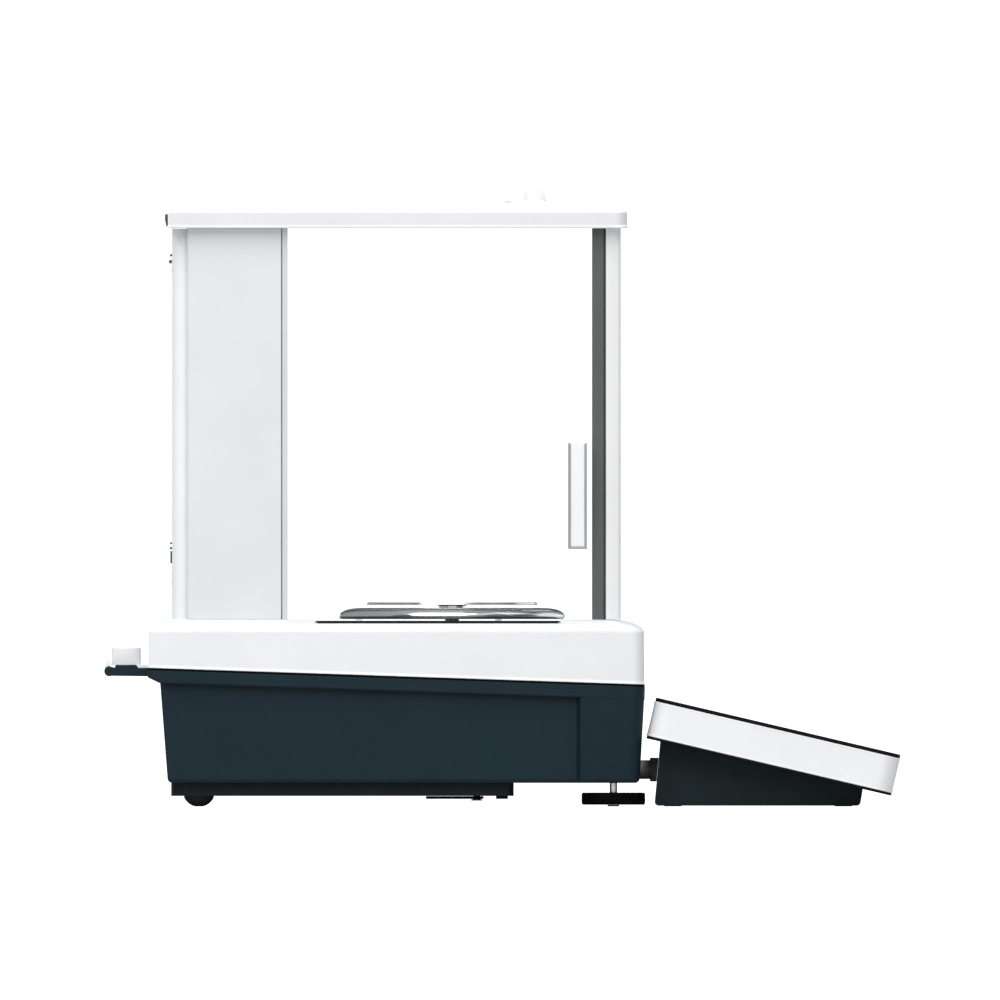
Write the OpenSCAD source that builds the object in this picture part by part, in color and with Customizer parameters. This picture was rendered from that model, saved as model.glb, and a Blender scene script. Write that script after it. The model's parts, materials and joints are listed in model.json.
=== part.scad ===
// Analytical balance with a glass draft shield and a tilted touch terminal.
// Millimetres, +Z up. The user sits at -Y. The origin is on the table,
// in the middle of the whole outline. The left door is at -X.

/* [Base] */
// Width of the base housing
base_w = 204; // [196:1:220]
// Front face of the base housing
base_front_y = -82; // [-84:0.5:-80]
// Rear face of the base housing
base_rear_y = 204; // [200:1:206]
// Height of the deck, the top of the base
deck_z = 107.5; // [106:0.5:110]
// Height of the rounded shoulder around the deck
shoulder_h = 8; // [6:0.5:10]
// Height of the seam between shell and tray at the front
seam_front_z = 69.5; // [66:0.5:72]
// Height of the seam between shell and tray at the rear
seam_rear_z = 79.1; // [78:0.1:80]
// Underside of the tray
tray_z = 13.5; // [13:0.5:15]
// Wall thickness of the housings
wall = 3; // [2.5:0.5:3.5]
// Depth of the step in the side of the tray
side_step = 5; // [3:0.5:6]

/* [Rear shelf] */
// Width of the shelf that carries the level
shelf_w = 120; // [100:5:140]
// Rear end of the shelf
shelf_end_y = 229; // [228:0.5:230]
// Radius of the round level housing
level_r = 8.5; // [7:0.5:10]

/* [Column] */
// Front face of the column, the back wall of the chamber
column_front_y = 123.5; // [120:0.5:126]
// Rear face of the column
column_rear_y = 190; // [186:1:192]
// Width over the outer side panels
column_w = 180.4; // [176:0.4:184]

/* [Draft shield] */
// Underside of the roof
roof_z = 332.4; // [320:0.2:340]
// Height of the upright rim of the roof
rim_h = 9.4; // [8:0.2:11]
// Height of the roof
roof_h = 15.6; // [14:0.2:17]
// Width of the roof
roof_w = 196; // [190:1:198]
// Thickness of the sliding door panes
door_t = 2.8; // [2.4:0.2:3.2]
// Width of the hole that the top door covers
top_hole_w = 140; // [120:5:144]

/* [Weighing pan] */
// Centre of the pan in front of the column
pan_y = 29; // [25:1:33]
// Diameter of the pan
pan_d = 98.6; // [80:0.2:104]
// Diameter of the domed guard below the pan
guard_d = 130; // [120:1:136]

/* [Feet] */
// Distance of the feet from the middle plane
foot_x = 78; // [70:1:84]
// Place of the front levelling feet
front_foot_y = -63.8; // [-66:0.2:-60]
// Place of the rear feet
rear_foot_y = 174.5; // [168:0.5:180]
// Diameter of the levelling thumbwheels
wheel_d = 36.6; // [30:0.2:38]
// Diameter of the levelling spindles
spindle_d = 5; // [4:0.5:6]

/* [Terminal] */
// Width of the terminal
terminal_w = 196; // [180:2:200]
// Length of the terminal along its slope
terminal_l = 145.4; // [130:0.2:146]
// Thickness of the terminal
terminal_t = 24.2; // [20:0.2:25]
// Tilt of the terminal
terminal_tilt = 13.2; // [12:0.1:14]
// Top rear edge of the terminal, measured along Y
terminal_y = -87.9; // [-90:0.1:-87]
// Height of the top rear edge of the terminal
terminal_z = 62.8; // [61:0.2:64]
// Width of the wedge stand
stand_w = 150; // [120:5:170]

/* [Hidden] */
$fn = 64;
eps = 0.02;

// Base
shoulder_z = deck_z - shoulder_h;
front_run = 20;
rear_run = 26;
side_run = 12;
base_corner_r = 6;
seam_slope = (seam_rear_z - seam_front_z) / (base_rear_y - base_front_y);
seam_gap = 1.2;
belt_h = 8;
step_front_y = -45;
tray_front_y = base_front_y + 3;
tray_rear_y = base_rear_y - 11.5;
tray_inner_x = base_w / 2 - side_step - wall;
plate_z = 6;
wheel_top_z = 8;
plate_w = 176;
plate_front_y = -6.5;
plate_rear_y = tray_rear_y - 2;
shelf_top_z = 79.6;
shelf_z = 74.8;
shelf_roll_r = 2.9;
roll_y = shelf_end_y - shelf_roll_r;
roll_z = shelf_top_z - shelf_roll_r + 1;
level_y = 216.3;
platform_y = 209.2;
platform_z = shelf_top_z + 1.8;

// Draft shield
door_x = 86;
pane_gap = 0.4;
slot_x0 = door_x - door_t / 2 - pane_gap;
slot_x1 = door_x + door_t / 2 + pane_gap;
door_front_y = -52.5;
door_rear_y = column_front_y + 3.5;
door_z = deck_z - 0.4;
door_top_z = roof_z + 3.2;
floor_front_y = -33.3;
floor_rear_y = 107.8;
floor_z = 105.2;
floor_top_z = 106.8;
post_front_y = -68.1;
post_rear_y = -59.5;
seal_rear_y = -51.5;
core_w = 2 * slot_x0;
cover_front_y = 181.4;
trim_rear_y = column_front_y + 3.1;
head_sink = 1.5;
roof_front_y = -72.2;
roof_rear_y = 192.3;
roof_run = 12.4;
roof_corner_r = 7;
rim_z = roof_z + rim_h;
roof_top_z = roof_z + roof_h;
rail_top_z = roof_top_z - 0.7;
pane_z = rim_z + 0.5;
pane_t = 3;
top_front_y = -5;

// Weighing cell
chassis_z = 17.5;
chassis_t = 8;
cell_w = 44;
cell_y0 = 60;
cell_y1 = 140;
cell_z0 = 30;
cell_z1 = 82;
magnet_y = 158;
hook_pivot_y = pan_y - 14.2;
hook_hole_r = 10;
cal_x = 44;
cal_y = 60;
guard_z = 108;
guard_h = 6.3;
pan_z = 116;
pan_t = 1.2;

// ---- Helpers ----

// A YZ outline run along X, centred on the middle plane
module along_x(w) {
  translate([-w / 2, 0, 0]) rotate([90, 0, 90]) linear_extrude(w) children();
}

// An XZ outline run along Y
module along_y(y0, y1) {
  translate([0, y1, 0]) rotate([90, 0, 0]) linear_extrude(y1 - y0) children();
}

// A rectangle with true round corners, centred on X, from y0 to y1
module rounded_plan(w, y0, y1, r) {
  translate([-w / 2 + r, y0]) square([w - 2 * r, y1 - y0]);
  translate([-w / 2, y0 + r]) square([w, y1 - y0 - 2 * r]);
  for (x = [-w / 2 + r, w / 2 - r], y = [y0 + r, y1 - r]) translate([x, y]) circle(r);
}

module block(x0, x1, y0, y1, z0, z1) {
  translate([x0, y0, z0]) cube([x1 - x0, y1 - y0, z1 - z0]);
}

// A plate with round corners in plan
module slab(w, y0, y1, z0, z1, r) {
  translate([0, 0, z0]) linear_extrude(z1 - z0) rounded_plan(w, y0, y1, r);
}

module post(x, y, z0, z1, r) {
  translate([x, y, z0]) cylinder(h = z1 - z0, r = r);
}

module both_sides() {
  children();
  mirror([1, 0, 0]) children();
}

// A round screw head with a hexagon socket, its top facing up
module screw(head_r, head_h, shank_r, shank_h) {
  difference() {
    cylinder(h = head_h, r = head_r);
    translate([0, 0, head_h / 2]) cylinder(h = head_h, r = head_r * 0.5, $fn = 6);
  }
  translate([0, 0, -shank_h]) cylinder(h = shank_h + eps, r = shank_r);
}

// Points of an ellipse arc from angle a0 to a1
function arc(cx, cy, rx, ry, a0, a1, n = 8) =
  [for (i = [0:n]) let (a = a0 + (a1 - a0) * i / n) [cx + rx * cos(a), cy + ry * sin(a)]];

function seam_z(y) = seam_front_z + (y - base_front_y) * seam_slope;

// ---- Base ----

// Side outline of the base above the seam, drawn in by t
function base_side(t) = concat(
  [[base_rear_y - t, shelf_z - 20], [base_rear_y - t, shoulder_z - t / 2]],
  [[base_rear_y - rear_run - t, deck_z - t]],
  arc(base_front_y + front_run, shoulder_z, front_run - t, shoulder_h - t, 90, 180),
  [[base_front_y + t, shelf_z - 20]]
);

// Front outline of the base above the seam, drawn in by t
function base_face(t) = concat(
  [[base_w / 2 - t, shelf_z - 20]],
  arc(base_w / 2 - side_run, shoulder_z, side_run - t, shoulder_h - t, 0, 90),
  arc(side_run - base_w / 2, shoulder_z, side_run - t, shoulder_h - t, 90, 180),
  [[t - base_w / 2, shelf_z - 20]]
);

module base_form(t) {
  intersection() {
    along_x(base_w) polygon(base_side(t));
    along_y(base_front_y, base_rear_y) polygon(base_face(t));
    slab(base_w - 2 * t, base_front_y + t, base_rear_y + 20, shelf_z - 20, deck_z,
         base_corner_r - t / 2);
  }
}

// Everything below the sloping seam, lifted by dz
module below_seam(dz) {
  far = 40;
  y0 = base_front_y - far;
  y1 = base_rear_y + far;
  along_x(base_w + far) polygon([[y0, 0], [y1, 0], [y1, seam_z(y1) + dz], [y0, seam_z(y0) + dz]]);
}

// The deck's recess for the chamber floor plate: dovetail ends, open at both sides
module floor_recess(grow) {
  slant = floor_top_z - floor_z;
  along_x(base_w) polygon([
    [floor_front_y + slant - grow, floor_z], [floor_rear_y - slant + grow, floor_z],
    [floor_rear_y + grow, floor_top_z], [floor_rear_y + grow, deck_z + 1],
    [floor_front_y - grow, deck_z + 1], [floor_front_y - grow, floor_top_z]
  ]);
}

module base_shell() color("white") {
  difference() {
    union() {
      difference() {
        base_form(0);
        base_form(wall);
        below_seam(seam_gap / 2);
      }
      along_x(shelf_w) polygon([
        [base_rear_y - wall, shelf_top_z], [platform_y - 0.15, shelf_top_z],
        [platform_y + 1.15, platform_z], [base_rear_y - wall, platform_z]
      ]);
    }
    floor_recess(0.1);
    both_sides() block(slot_x0, slot_x1, door_front_y - 0.5, base_rear_y, deck_z - 0.7, deck_z + 1);
    post(0, pan_y, floor_z - 5, deck_z, 8);
    block(-50, 50, 134, 170, deck_z - wall - 1, deck_z + 1);
  }
}

module seam_gasket() color("black") {
  difference() {
    intersection() {
      slab(base_w - 2, base_front_y + 1, base_rear_y - 1, shelf_z - 20, shelf_top_z + 4, 5);
      below_seam(seam_gap / 2 - eps);
    }
    slab(base_w - 8, base_front_y + 4, base_rear_y - 4, 0, deck_z, 3);
    below_seam(-seam_gap / 2 + eps);
    block(-shelf_w, shelf_w, base_rear_y - wall, base_rear_y + 1, 0, deck_z);
  }
}

// Outer side outline of the tray, with the shelf at the rear
function tray_side() = concat(
  [[base_front_y, seam_front_z]],
  arc(tray_front_y + 3, tray_z + 3, 3, 3, 180, 270, 4),
  arc(tray_rear_y - 3, tray_z + 3, 3, 3, 270, 360, 4),
  [[tray_rear_y + 4, shelf_z - 4], [tray_rear_y + 5, shelf_z - 2.6]],
  [[base_rear_y - 1, shelf_z - 1.2], [base_rear_y, shelf_z]],
  [[base_rear_y, shelf_top_z]]
);

module tray_shelf() {
  slab(shelf_w, base_rear_y - 10, roll_y, shelf_z, shelf_top_z, 2);
  along_x(shelf_w) translate([roll_y, roll_z]) circle(shelf_roll_r);
  along_x(shelf_w) polygon([
    [platform_y, shelf_top_z - eps], [platform_y + 1.3, platform_z],
    [shelf_end_y - 6.4, platform_z], [shelf_end_y - 6.4, shelf_top_z - eps]
  ]);
}

module tray_bosses() {
  for (x = [-foot_x, foot_x]) {
    post(x, front_foot_y, tray_z, 34, 9);
    for (y = [20, 150]) post(x * 0.9, y, tray_z, 30, 6);
  }
  for (x = [-45, 45], y = [15, 165]) post(x, y, tray_z, chassis_z, 6);
}

module base_tray() color([0.13, 0.2, 0.24]) {
  difference() {
    union() {
      difference() {
        intersection() {
          along_x(base_w) polygon(tray_side());
          slab(base_w, base_front_y, base_rear_y + 20, 0, deck_z, base_corner_r);
        }
        block(-tray_inner_x, tray_inner_x, tray_front_y + wall, tray_rear_y - wall,
              tray_z + wall, deck_z);
        block(-base_w / 2 + 6, base_w / 2 - 6, tray_rear_y - 10, base_rear_y - wall,
              shelf_z - 2, deck_z);
      }
      tray_shelf();
      tray_bosses();
    }
    difference() {
      block(-base_w, base_w, step_front_y, base_rear_y + 1, 0, shelf_z);
      block(-base_w / 2 + side_step, base_w / 2 - side_step, step_front_y - 1, base_rear_y + 2,
            -1, deck_z);
      translate([0, 0, -belt_h]) difference() {
        block(-base_w, base_w, step_front_y - 1, base_rear_y + 2, 0, deck_z);
        below_seam(0);
      }
    }
    difference() {
      block(-base_w, base_w, base_front_y - 1, base_rear_y - wall, 0, deck_z);
      below_seam(-seam_gap / 2);
    }
    for (x = [-foot_x, foot_x]) post(x, front_foot_y, 0, 40, 5);
    post(0, pan_y, 0, 20, hook_hole_r);
    translate([0, 0, 21.2]) rotate([90, 0, 0]) cylinder(h = 100, r = 5.7);
    block(-62, 62, tray_rear_y - 8, base_rear_y, 20, 60);
    for (x = [-74, 74], y = [8, 92, 180]) post(x, y, 0, 20, 1.6);
  }
}

// Cast cover under the rear of the tray
module bottom_plate() color([0.08, 0.1, 0.11]) {
  difference() {
    union() {
      slab(plate_w, plate_front_y, plate_rear_y, plate_z, tray_z, 5);
      both_sides() block(46, 58, -3.2, 3.7, plate_z - 1.7, plate_z + eps);
    }
    post(0, pan_y, 0, 20, hook_hole_r);
    post(0, hook_pivot_y, 0, 20, 2);
    for (x = [-74, 74], y = [8, 92, 180]) {
      post(x, y, 0, 20, 1.7);
      post(x, y, 0, plate_z + 3, 3.4);
    }
    for (x = [-40, 40]) slab_slot(x);
  }
}

// Shallow grip slots that lighten the cover
module slab_slot(x) {
  translate([x, 0, plate_z - eps]) linear_extrude(3) rounded_plan(30, 60, 140, 6);
}

module bottom_screws() color("silver") {
  for (x = [-74, 74], y = [8, 92, 180]) {
    translate([x, y, plate_z + 3]) mirror([0, 0, 1]) screw(3.2, 2, 1.5, 8);
  }
}

module rear_feet() color([0.1, 0.12, 0.13]) {
  cap_r = 9.6;
  for (x = [-foot_x, foot_x]) {
    intersection() {
      translate([x, rear_foot_y, cap_r - 0.25]) sphere(cap_r);
      post(x, rear_foot_y, 0, plate_z, 9);
    }
  }
}

module foot_inserts() color("gold") {
  for (x = [-foot_x, foot_x]) difference() {
    post(x, front_foot_y, tray_z, 32, 5 - eps);
    post(x, front_foot_y, 0, 40, spindle_d / 2 + 0.06);
  }
}

module foot_tip(side) color("black") {
  post(side * foot_x, front_foot_y, 0, 0.9, 3.35);
}

module thumbwheel(side) color([0.05, 0.06, 0.06]) {
  grooves = 18;
  translate([side * foot_x, front_foot_y, 0]) difference() {
    translate([0, 0, 0.95]) cylinder(h = wheel_top_z - 0.95, r = wheel_d / 2);
    for (i = [0:grooves - 1]) rotate(i * 360 / grooves) {
      translate([wheel_d / 2 + 0.9, 0, 0]) cylinder(h = 20, r = 1.9, $fn = 24);
    }
    cylinder(h = 20, r = spindle_d / 2);
  }
}

// Spindle with a plain neck between the wheel and the tray
module spindle(side) color("silver") {
  post(side * foot_x, front_foot_y, 0.95, wheel_top_z, spindle_d / 2);
  post(side * foot_x, front_foot_y, wheel_top_z - 1, 14, spindle_d / 2 - 0.35);
  post(side * foot_x, front_foot_y, 13.4, 37, spindle_d / 2);
}

module level_housing() color("white") {
  translate([0, level_y, 0]) difference() {
    union() {
      translate([0, 0, shelf_top_z + 1.8]) cylinder(h = 9.2, r = level_r);
      translate([0, 0, shelf_top_z + 11]) cylinder(h = 0.8, r = level_r - 0.6);
    }
    translate([0, 0, shelf_top_z + 5]) cylinder(h = 10, r = level_r - 1.7);
  }
}

module level_vial() color([0.75, 0.85, 0.6]) {
  translate([0, level_y, shelf_top_z + 5]) cylinder(h = 6.3, r = level_r - 1.75);
}

// Hooked lip over the rolled end of the shelf
module rear_lip() color("white") {
  y0 = shelf_end_y - 3.9;
  along_x(shelf_w - 8) difference() {
    polygon(concat(
      [[y0, roll_z], [y0 + 0.3, roll_z + 4.6]],
      arc(shelf_end_y - 2.2, roll_z + 4.4, 1.4, 2.2, 160, 10, 6),
      [[shelf_end_y, roll_z + 3], [shelf_end_y - 0.6, roll_z]]
    ));
    translate([roll_y, roll_z]) circle(shelf_roll_r + eps);
  }
}

// ---- Rear connections ----

port_y = tray_rear_y - 6;

module connector_panel() color([0.1, 0.12, 0.13]) {
  difference() {
    union() {
      block(-61.8, 61.8, port_y, port_y + 2, 20.2, 59.8);
      block(-61.8, 61.8, port_y, tray_rear_y - 1, 20.2, 22.2);
      block(-61.8, 61.8, port_y, tray_rear_y - 1, 57.8, 59.8);
    }
    translate([-42, 300, 40]) rotate([90, 0, 0]) cylinder(h = 300, r = 8);
    block(-14.2, 14.2, port_y - 1, port_y + 3, 34.2, 45.8);
    for (x = [32, 48]) translate([x, port_y + 3, 40]) rotate([90, 0, 0]) cylinder(h = 5, r = 5.2);
  }
}

module power_inlet() color([0.15, 0.15, 0.16]) {
  translate([-42, port_y, 40]) rotate([-90, 0, 0]) difference() {
    union() {
      translate([0, 0, -10]) cylinder(h = 13, r = 7.9);
      translate([0, 0, 2]) cylinder(h = 2, r = 9.5);
    }
    translate([0, 0, -6]) cylinder(h = 20, r = 5);
  }
}

module data_ports() color([0.6, 0.62, 0.64]) {
  difference() {
    union() {
      block(-14, 14, port_y - 8, port_y + 3, 34.4, 45.6);
      block(-16, 16, port_y + 2, port_y + 3, 33, 47);
    }
    block(-9, 9, port_y - 4, port_y + 4, 35.8, 44.2);
  }
  for (x = [32, 48]) translate([x, port_y - 8, 40]) rotate([-90, 0, 0]) difference() {
    union() {
      cylinder(h = 11, r = 5);
      translate([0, 0, 10]) cylinder(h = 1.2, r = 6.4);
    }
    translate([0, 0, 3]) cylinder(h = 20, r = 3.6);
  }
}

// ---- Column ----

module column_housing() color([0.93, 0.94, 0.95]) {
  difference() {
    block(-core_w / 2, core_w / 2, column_front_y, cover_front_y, deck_z, roof_z);
    block(-core_w / 2 + wall, core_w / 2 - wall, column_front_y + wall, cover_front_y + 1,
          deck_z - 1, roof_z - wall);
  }
  for (x = [-70, 70], z = [130, 310]) translate([x, cover_front_y, z]) rotate([90, 0, 0]) {
    difference() {
      cylinder(h = 56, r = 5);
      translate([0, 0, -1]) cylinder(h = 14, r = 1.6);
    }
  }
}

module column_side() {
  x = column_w / 2;
  difference() {
    block(x - 2, x, trim_rear_y + 0.6, cover_front_y, deck_z, roof_z);
    block(x - 1, x + 1, cover_front_y - 0.8, cover_front_y + 1, deck_z - 1, roof_z + 1);
  }
}

module column_side_left() color([0.9, 0.91, 0.92]) mirror([1, 0, 0]) column_side();

module column_side_right() color([0.9, 0.91, 0.92]) column_side();

module column_trims() color([0.84, 0.85, 0.86]) {
  x = column_w / 2;
  both_sides() block(x - 2, x - 0.2, column_front_y, trim_rear_y, deck_z, roof_z);
}

module rear_cover() color([0.94, 0.95, 0.95]) {
  difference() {
    slab(core_w, cover_front_y - 9, column_rear_y, deck_z + 0.2, roof_z - 0.2, 8.4);
    block(-core_w, core_w, cover_front_y - 20, cover_front_y, 0, roof_z);
    slab(core_w - 2 * wall, cover_front_y - 9, column_rear_y - wall, deck_z + 3, roof_z - 3, 6);
    for (x = [-70, 70], z = [130, 310]) {
      translate([x, column_rear_y + 1, z]) rotate([90, 0, 0]) {
        cylinder(h = 20, r = 1.7);
        cylinder(h = 1 + head_sink, r = 3.4);
      }
    }
  }
}

module rear_cover_screws() color([0.3, 0.31, 0.33]) {
  for (x = [-70, 70], z = [130, 310]) {
    translate([x, column_rear_y - head_sink, z]) rotate([-90, 0, 0]) screw(3.2, 1.8, 1.5, 12);
  }
}

// Small catches on the back of the column, and the grey tab behind the roof
module shield_latches() color([0.35, 0.36, 0.38]) {
  y = column_rear_y;
  both_sides() {
    block(52, 58, y, y + 1.2, 316.2, 317.6);
    block(52, 58, y, y + 1.8, 312.2, 314.2);
    block(58, 64, y, y + 1.2, 150.7, 151.9);
    block(58, 64, y, y + 1.4, 147.8, 149.2);
    block(58, 64, y, y + 1, 139.7, 146.9);
  }
  along_x(96) polygon([
    [roof_rear_y, roof_z + 1.6], [roof_rear_y + 0.9, roof_z + 0.6],
    [roof_rear_y + 1.8, roof_z + 5], [roof_rear_y + 1.8, roof_z + 8.2],
    [roof_rear_y, roof_z + 8.2]
  ]);
}

module main_board() color([0.1, 0.35, 0.2]) {
  y = 150;
  difference() {
    block(-74, 74, y, y + 1.6, 120, 300);
    for (x = [-70, 70]) translate([x, y + 3, 130]) rotate([90, 0, 0]) cylinder(h = 6, r = 5.4);
  }
  block(-20, 10, y + 1.6, y + 4, 200, 230);
  block(-60, -40, y + 1.6, y + 10, 140, 170);
  block(30, 62, y + 1.6, y + 8, 240, 260);
  for (x = [20:12:56]) translate([x, y + 1.6, 150]) rotate([-90, 0, 0]) cylinder(h = 12, r = 4);
}

// ---- Draft shield ----

// Side outline of the roof
function roof_side() = [
  [roof_front_y + 1.5, roof_z], [roof_front_y, roof_z + 1.5], [roof_front_y, rim_z],
  [roof_front_y + roof_run, roof_top_z], [roof_rear_y - roof_run, roof_top_z],
  [roof_rear_y, rim_z], [roof_rear_y, roof_z + 1.5], [roof_rear_y - 1.5, roof_z]
];

// Front outline of the roof
function roof_face() = let (x = roof_w / 2) [
  [x - 1.5, roof_z], [x, roof_z + 1.5], [x, rim_z], [x - roof_run, roof_top_z],
  [roof_run - x, roof_top_z], [-x, rim_z], [-x, roof_z + 1.5], [1.5 - x, roof_z]
];

module roof_frame() color("white") {
  hole = top_hole_w / 2;
  difference() {
    intersection() {
      along_x(roof_w) polygon(roof_side());
      along_y(roof_front_y, roof_rear_y) polygon(roof_face());
      slab(roof_w, roof_front_y, roof_rear_y + 20, roof_z, roof_top_z, roof_corner_r);
    }
    // The hole above the chamber, and the groove that the top pane runs in
    block(-hole, hole, top_front_y + 3, column_front_y - 1, roof_z - 1, roof_top_z + 1);
    block(-hole - 3, hole + 3, top_front_y - 0.3, roof_rear_y + 1, pane_z - 0.3,
          pane_z + pane_t + 0.3);
    block(-hole, hole, top_front_y - 0.3, roof_rear_y + 1, pane_z, roof_top_z + 1);
    // The rails behind the front part lie a little lower
    block(-roof_w, roof_w, top_front_y - 0.3, roof_rear_y + 1, rail_top_z, roof_top_z + 1);
    // Recess for the foot of the top handle
    block(-23, 23, -28, top_front_y, pane_z + pane_t, roof_top_z + 1);
    // Upper grooves for the side panes
    both_sides() block(slot_x0, slot_x1, door_front_y - 0.5, roof_rear_y + 1, roof_z - 1,
                       door_top_z + 0.4);
    // Hollow above the column
    block(-75, 75, column_front_y + 8, column_rear_y - 8, roof_z - 1, rim_z - 2.5);
  }
}

module front_glass() color([0.8, 0.9, 0.92, 0.3]) {
  block(-84, 84, -66, -62.8, deck_z, roof_z);
}

module front_post() {
  x0 = 82;
  x1 = column_w / 2 - 0.2;
  r = 4;
  difference() {
    translate([0, 0, deck_z]) linear_extrude(roof_z - deck_z) {
      translate([x0, post_front_y + r]) square([x1 - x0, post_rear_y - post_front_y - r]);
      translate([x0, post_front_y]) square([x1 - x0 - r, r + eps]);
      translate([x1 - r, post_front_y + r]) circle(r);
    }
    block(x0 - 1, 84.2, -66.2, -62.6, 0, roof_z + 1);
  }
}

module front_posts() color([0.9, 0.91, 0.92]) both_sides() front_post();

// Dark sealing strips between the posts and the side panes
module front_seals() color([0.36, 0.36, 0.36]) {
  x1 = column_w / 2 - 1.2;
  both_sides() difference() {
    block(83, x1, post_rear_y, seal_rear_y, deck_z, roof_z);
    block(slot_x0, slot_x1, door_front_y - 1, seal_rear_y + 1, 0, roof_z + 1);
  }
}

module side_pane() {
  block(door_x - door_t / 2, door_x + door_t / 2, door_front_y, door_rear_y, door_z, door_top_z);
}

module left_door_glass() color([0.8, 0.9, 0.92, 0.3]) mirror([1, 0, 0]) side_pane();

module right_door_glass() color([0.8, 0.9, 0.92, 0.3]) side_pane();

// Upright grip: a plate with a raised rim at its front, rear and lower edges
module side_handle() {
  x0 = door_x + door_t / 2;
  y0 = -48.6;
  y1 = -37.7;
  z0 = 148;
  z1 = 209;
  difference() {
    block(x0, x0 + 9, y0, y1, z0, z1);
    block(x0 + 8, x0 + 10, y0 + 1.3, y1 - 1.3, z0 + 1.3, z1 + 1);
  }
}

module left_door_handle() color([0.92, 0.93, 0.94]) mirror([1, 0, 0]) side_handle();

module right_door_handle() color([0.92, 0.93, 0.94]) side_handle();

module top_door_glass() color([0.8, 0.9, 0.92, 0.3]) {
  hole = top_hole_w / 2;
  block(-hole - 2.6, hole + 2.6, top_front_y, column_front_y + 0.5, pane_z, pane_z + pane_t);
}

module top_door_bar() color([0.2, 0.21, 0.22]) {
  hole = top_hole_w / 2;
  block(-hole + 0.4, hole - 0.4, top_front_y, top_front_y + 3.6, pane_z + pane_t,
        roof_top_z + 0.2);
}

module top_door_handle() color([0.86, 0.92, 0.96]) {
  grip_z = roof_top_z;
  block(-22.5, 22.5, -27.5, top_front_y, pane_z + pane_t + 0.1, grip_z);
  intersection() {
    along_x(44) polygon(concat(
      [[-27, grip_z - eps], [-25, grip_z + 0.8]],
      arc(-21.9, grip_z + 4, 2.6, 2.3, 180, 90, 4),
      arc(-14.9, grip_z + 4, 2.6, 2.3, 90, 0, 4),
      [[-11.8, grip_z + 0.8], [-9.8, grip_z - eps]]
    ));
    slab(44, -27.4, -9.4, grip_z - 1, grip_z + 10, 5);
  }
}

// ---- Chamber ----

module chamber_floor() color([0.1, 0.11, 0.12]) {
  slant = floor_top_z - floor_z;
  difference() {
    along_x(base_w - 7.5) polygon([
      [floor_front_y + slant, floor_z], [floor_rear_y - slant, floor_z],
      [floor_rear_y, floor_top_z], [floor_front_y, floor_top_z]
    ]);
    post(0, pan_y, 0, deck_z, 8);
  }
}

// Domed guard of thin sheet, standing on three small feet
module guard_ring() color("silver") {
  sheet = 0.9;
  r = guard_d / 2;
  run = 11;
  translate([0, pan_y, guard_z]) {
    rotate_extrude($fn = 96) polygon(concat(
      [[r - sheet, 0]], arc(r - run, 0, run, guard_h, 0, 90, 6), [[12, guard_h - 0.7]],
      [[12, guard_h - 0.7 - sheet]],
      arc(r - run, 0, run - sheet, guard_h - sheet, 90, 4, 6)
    ));
    for (a = [90, 210, 330]) rotate(a) translate([r - run, 0, floor_top_z - guard_z]) {
      cylinder(h = guard_z - floor_top_z + guard_h - sheet + 0.1, r = 2);
    }
  }
}

module pan() color("silver") {
  r = pan_d / 2;
  translate([0, pan_y, 0]) difference() {
    union() {
      rotate_extrude($fn = 96) polygon([
        [0, pan_z], [r - 1, pan_z], [r - 0.6, pan_z - 0.5], [r, pan_z - 0.3], [r, pan_z + 0.7],
        [r - 0.7, pan_z + 1.4], [r - 1.6, pan_z + pan_t], [0, pan_z + pan_t]
      ]);
      translate([0, 0, 110]) cylinder(h = pan_z - 110 + eps, r = 8);
    }
    translate([0, 0, 109]) cylinder(h = 5, r = 4.1);
  }
}

// ---- Weighing cell ----

module pan_support() color([0.7, 0.71, 0.73]) {
  post(0, pan_y, 40, 111, 4);
  translate([0, pan_y, 111]) cylinder(h = 2.6, r1 = 4, r2 = 2.4);
  block(-10, 10, pan_y - 8, cell_y0, 62, 74);
  block(-10, 10, pan_y - 8, pan_y + 8, 40, 62 + eps);
}

// Load cell cut from one block, with its slots and thin flexures
module cell_block() color([0.75, 0.77, 0.8]) {
  difference() {
    block(-cell_w / 2, cell_w / 2, cell_y0, cell_y1, cell_z0, cell_z1);
    for (y = [cell_y0 + 10, cell_y1 - 16], z = [cell_z0 + 7, cell_z1 - 7]) {
      translate([0, y, z]) rotate([0, 90, 0]) cylinder(h = cell_w + 2, r = 4, center = true);
    }
    for (z = [cell_z0 + 10, cell_z1 - 12]) {
      block(-cell_w, cell_w, cell_y0 + 10, cell_y1 - 16, z, z + 1.6);
    }
    block(-cell_w, cell_w, cell_y0 + 24, cell_y0 + 25.6, cell_z0 + 10, cell_z1 - 12);
    block(-cell_w, cell_w, cell_y0 + 40, cell_y1 - 30, cell_z0 + 20, cell_z1 - 22);
    for (x = [-14, 14]) post(x, cell_y1 - 7, cell_z0 - 1, cell_z1 + 1, 2.2);
  }
  block(-cell_w / 2, cell_w / 2, cell_y1 - 14, cell_y1, chassis_z + chassis_t, cell_z0 + eps);
}

module cell_magnet() color([0.35, 0.36, 0.38]) {
  translate([0, magnet_y, chassis_z + chassis_t]) difference() {
    cylinder(h = 26, r = 15);
    difference() {
      translate([0, 0, 10]) cylinder(h = 20, r = 11.5);
      cylinder(h = 30, r = 7.5);
    }
  }
}

module cell_coil() color([0.8, 0.45, 0.2]) {
  z = chassis_z + chassis_t + 14;
  translate([0, magnet_y, z]) difference() {
    union() {
      cylinder(h = 18, r = 10.5);
      translate([0, 0, 15]) cylinder(h = 3, r = 12.5);
    }
    translate([0, 0, -1]) cylinder(h = 16, r = 8.5);
  }
  block(-4, 4, cell_y1, magnet_y - 8, z + 15, z + 18);
}

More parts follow.
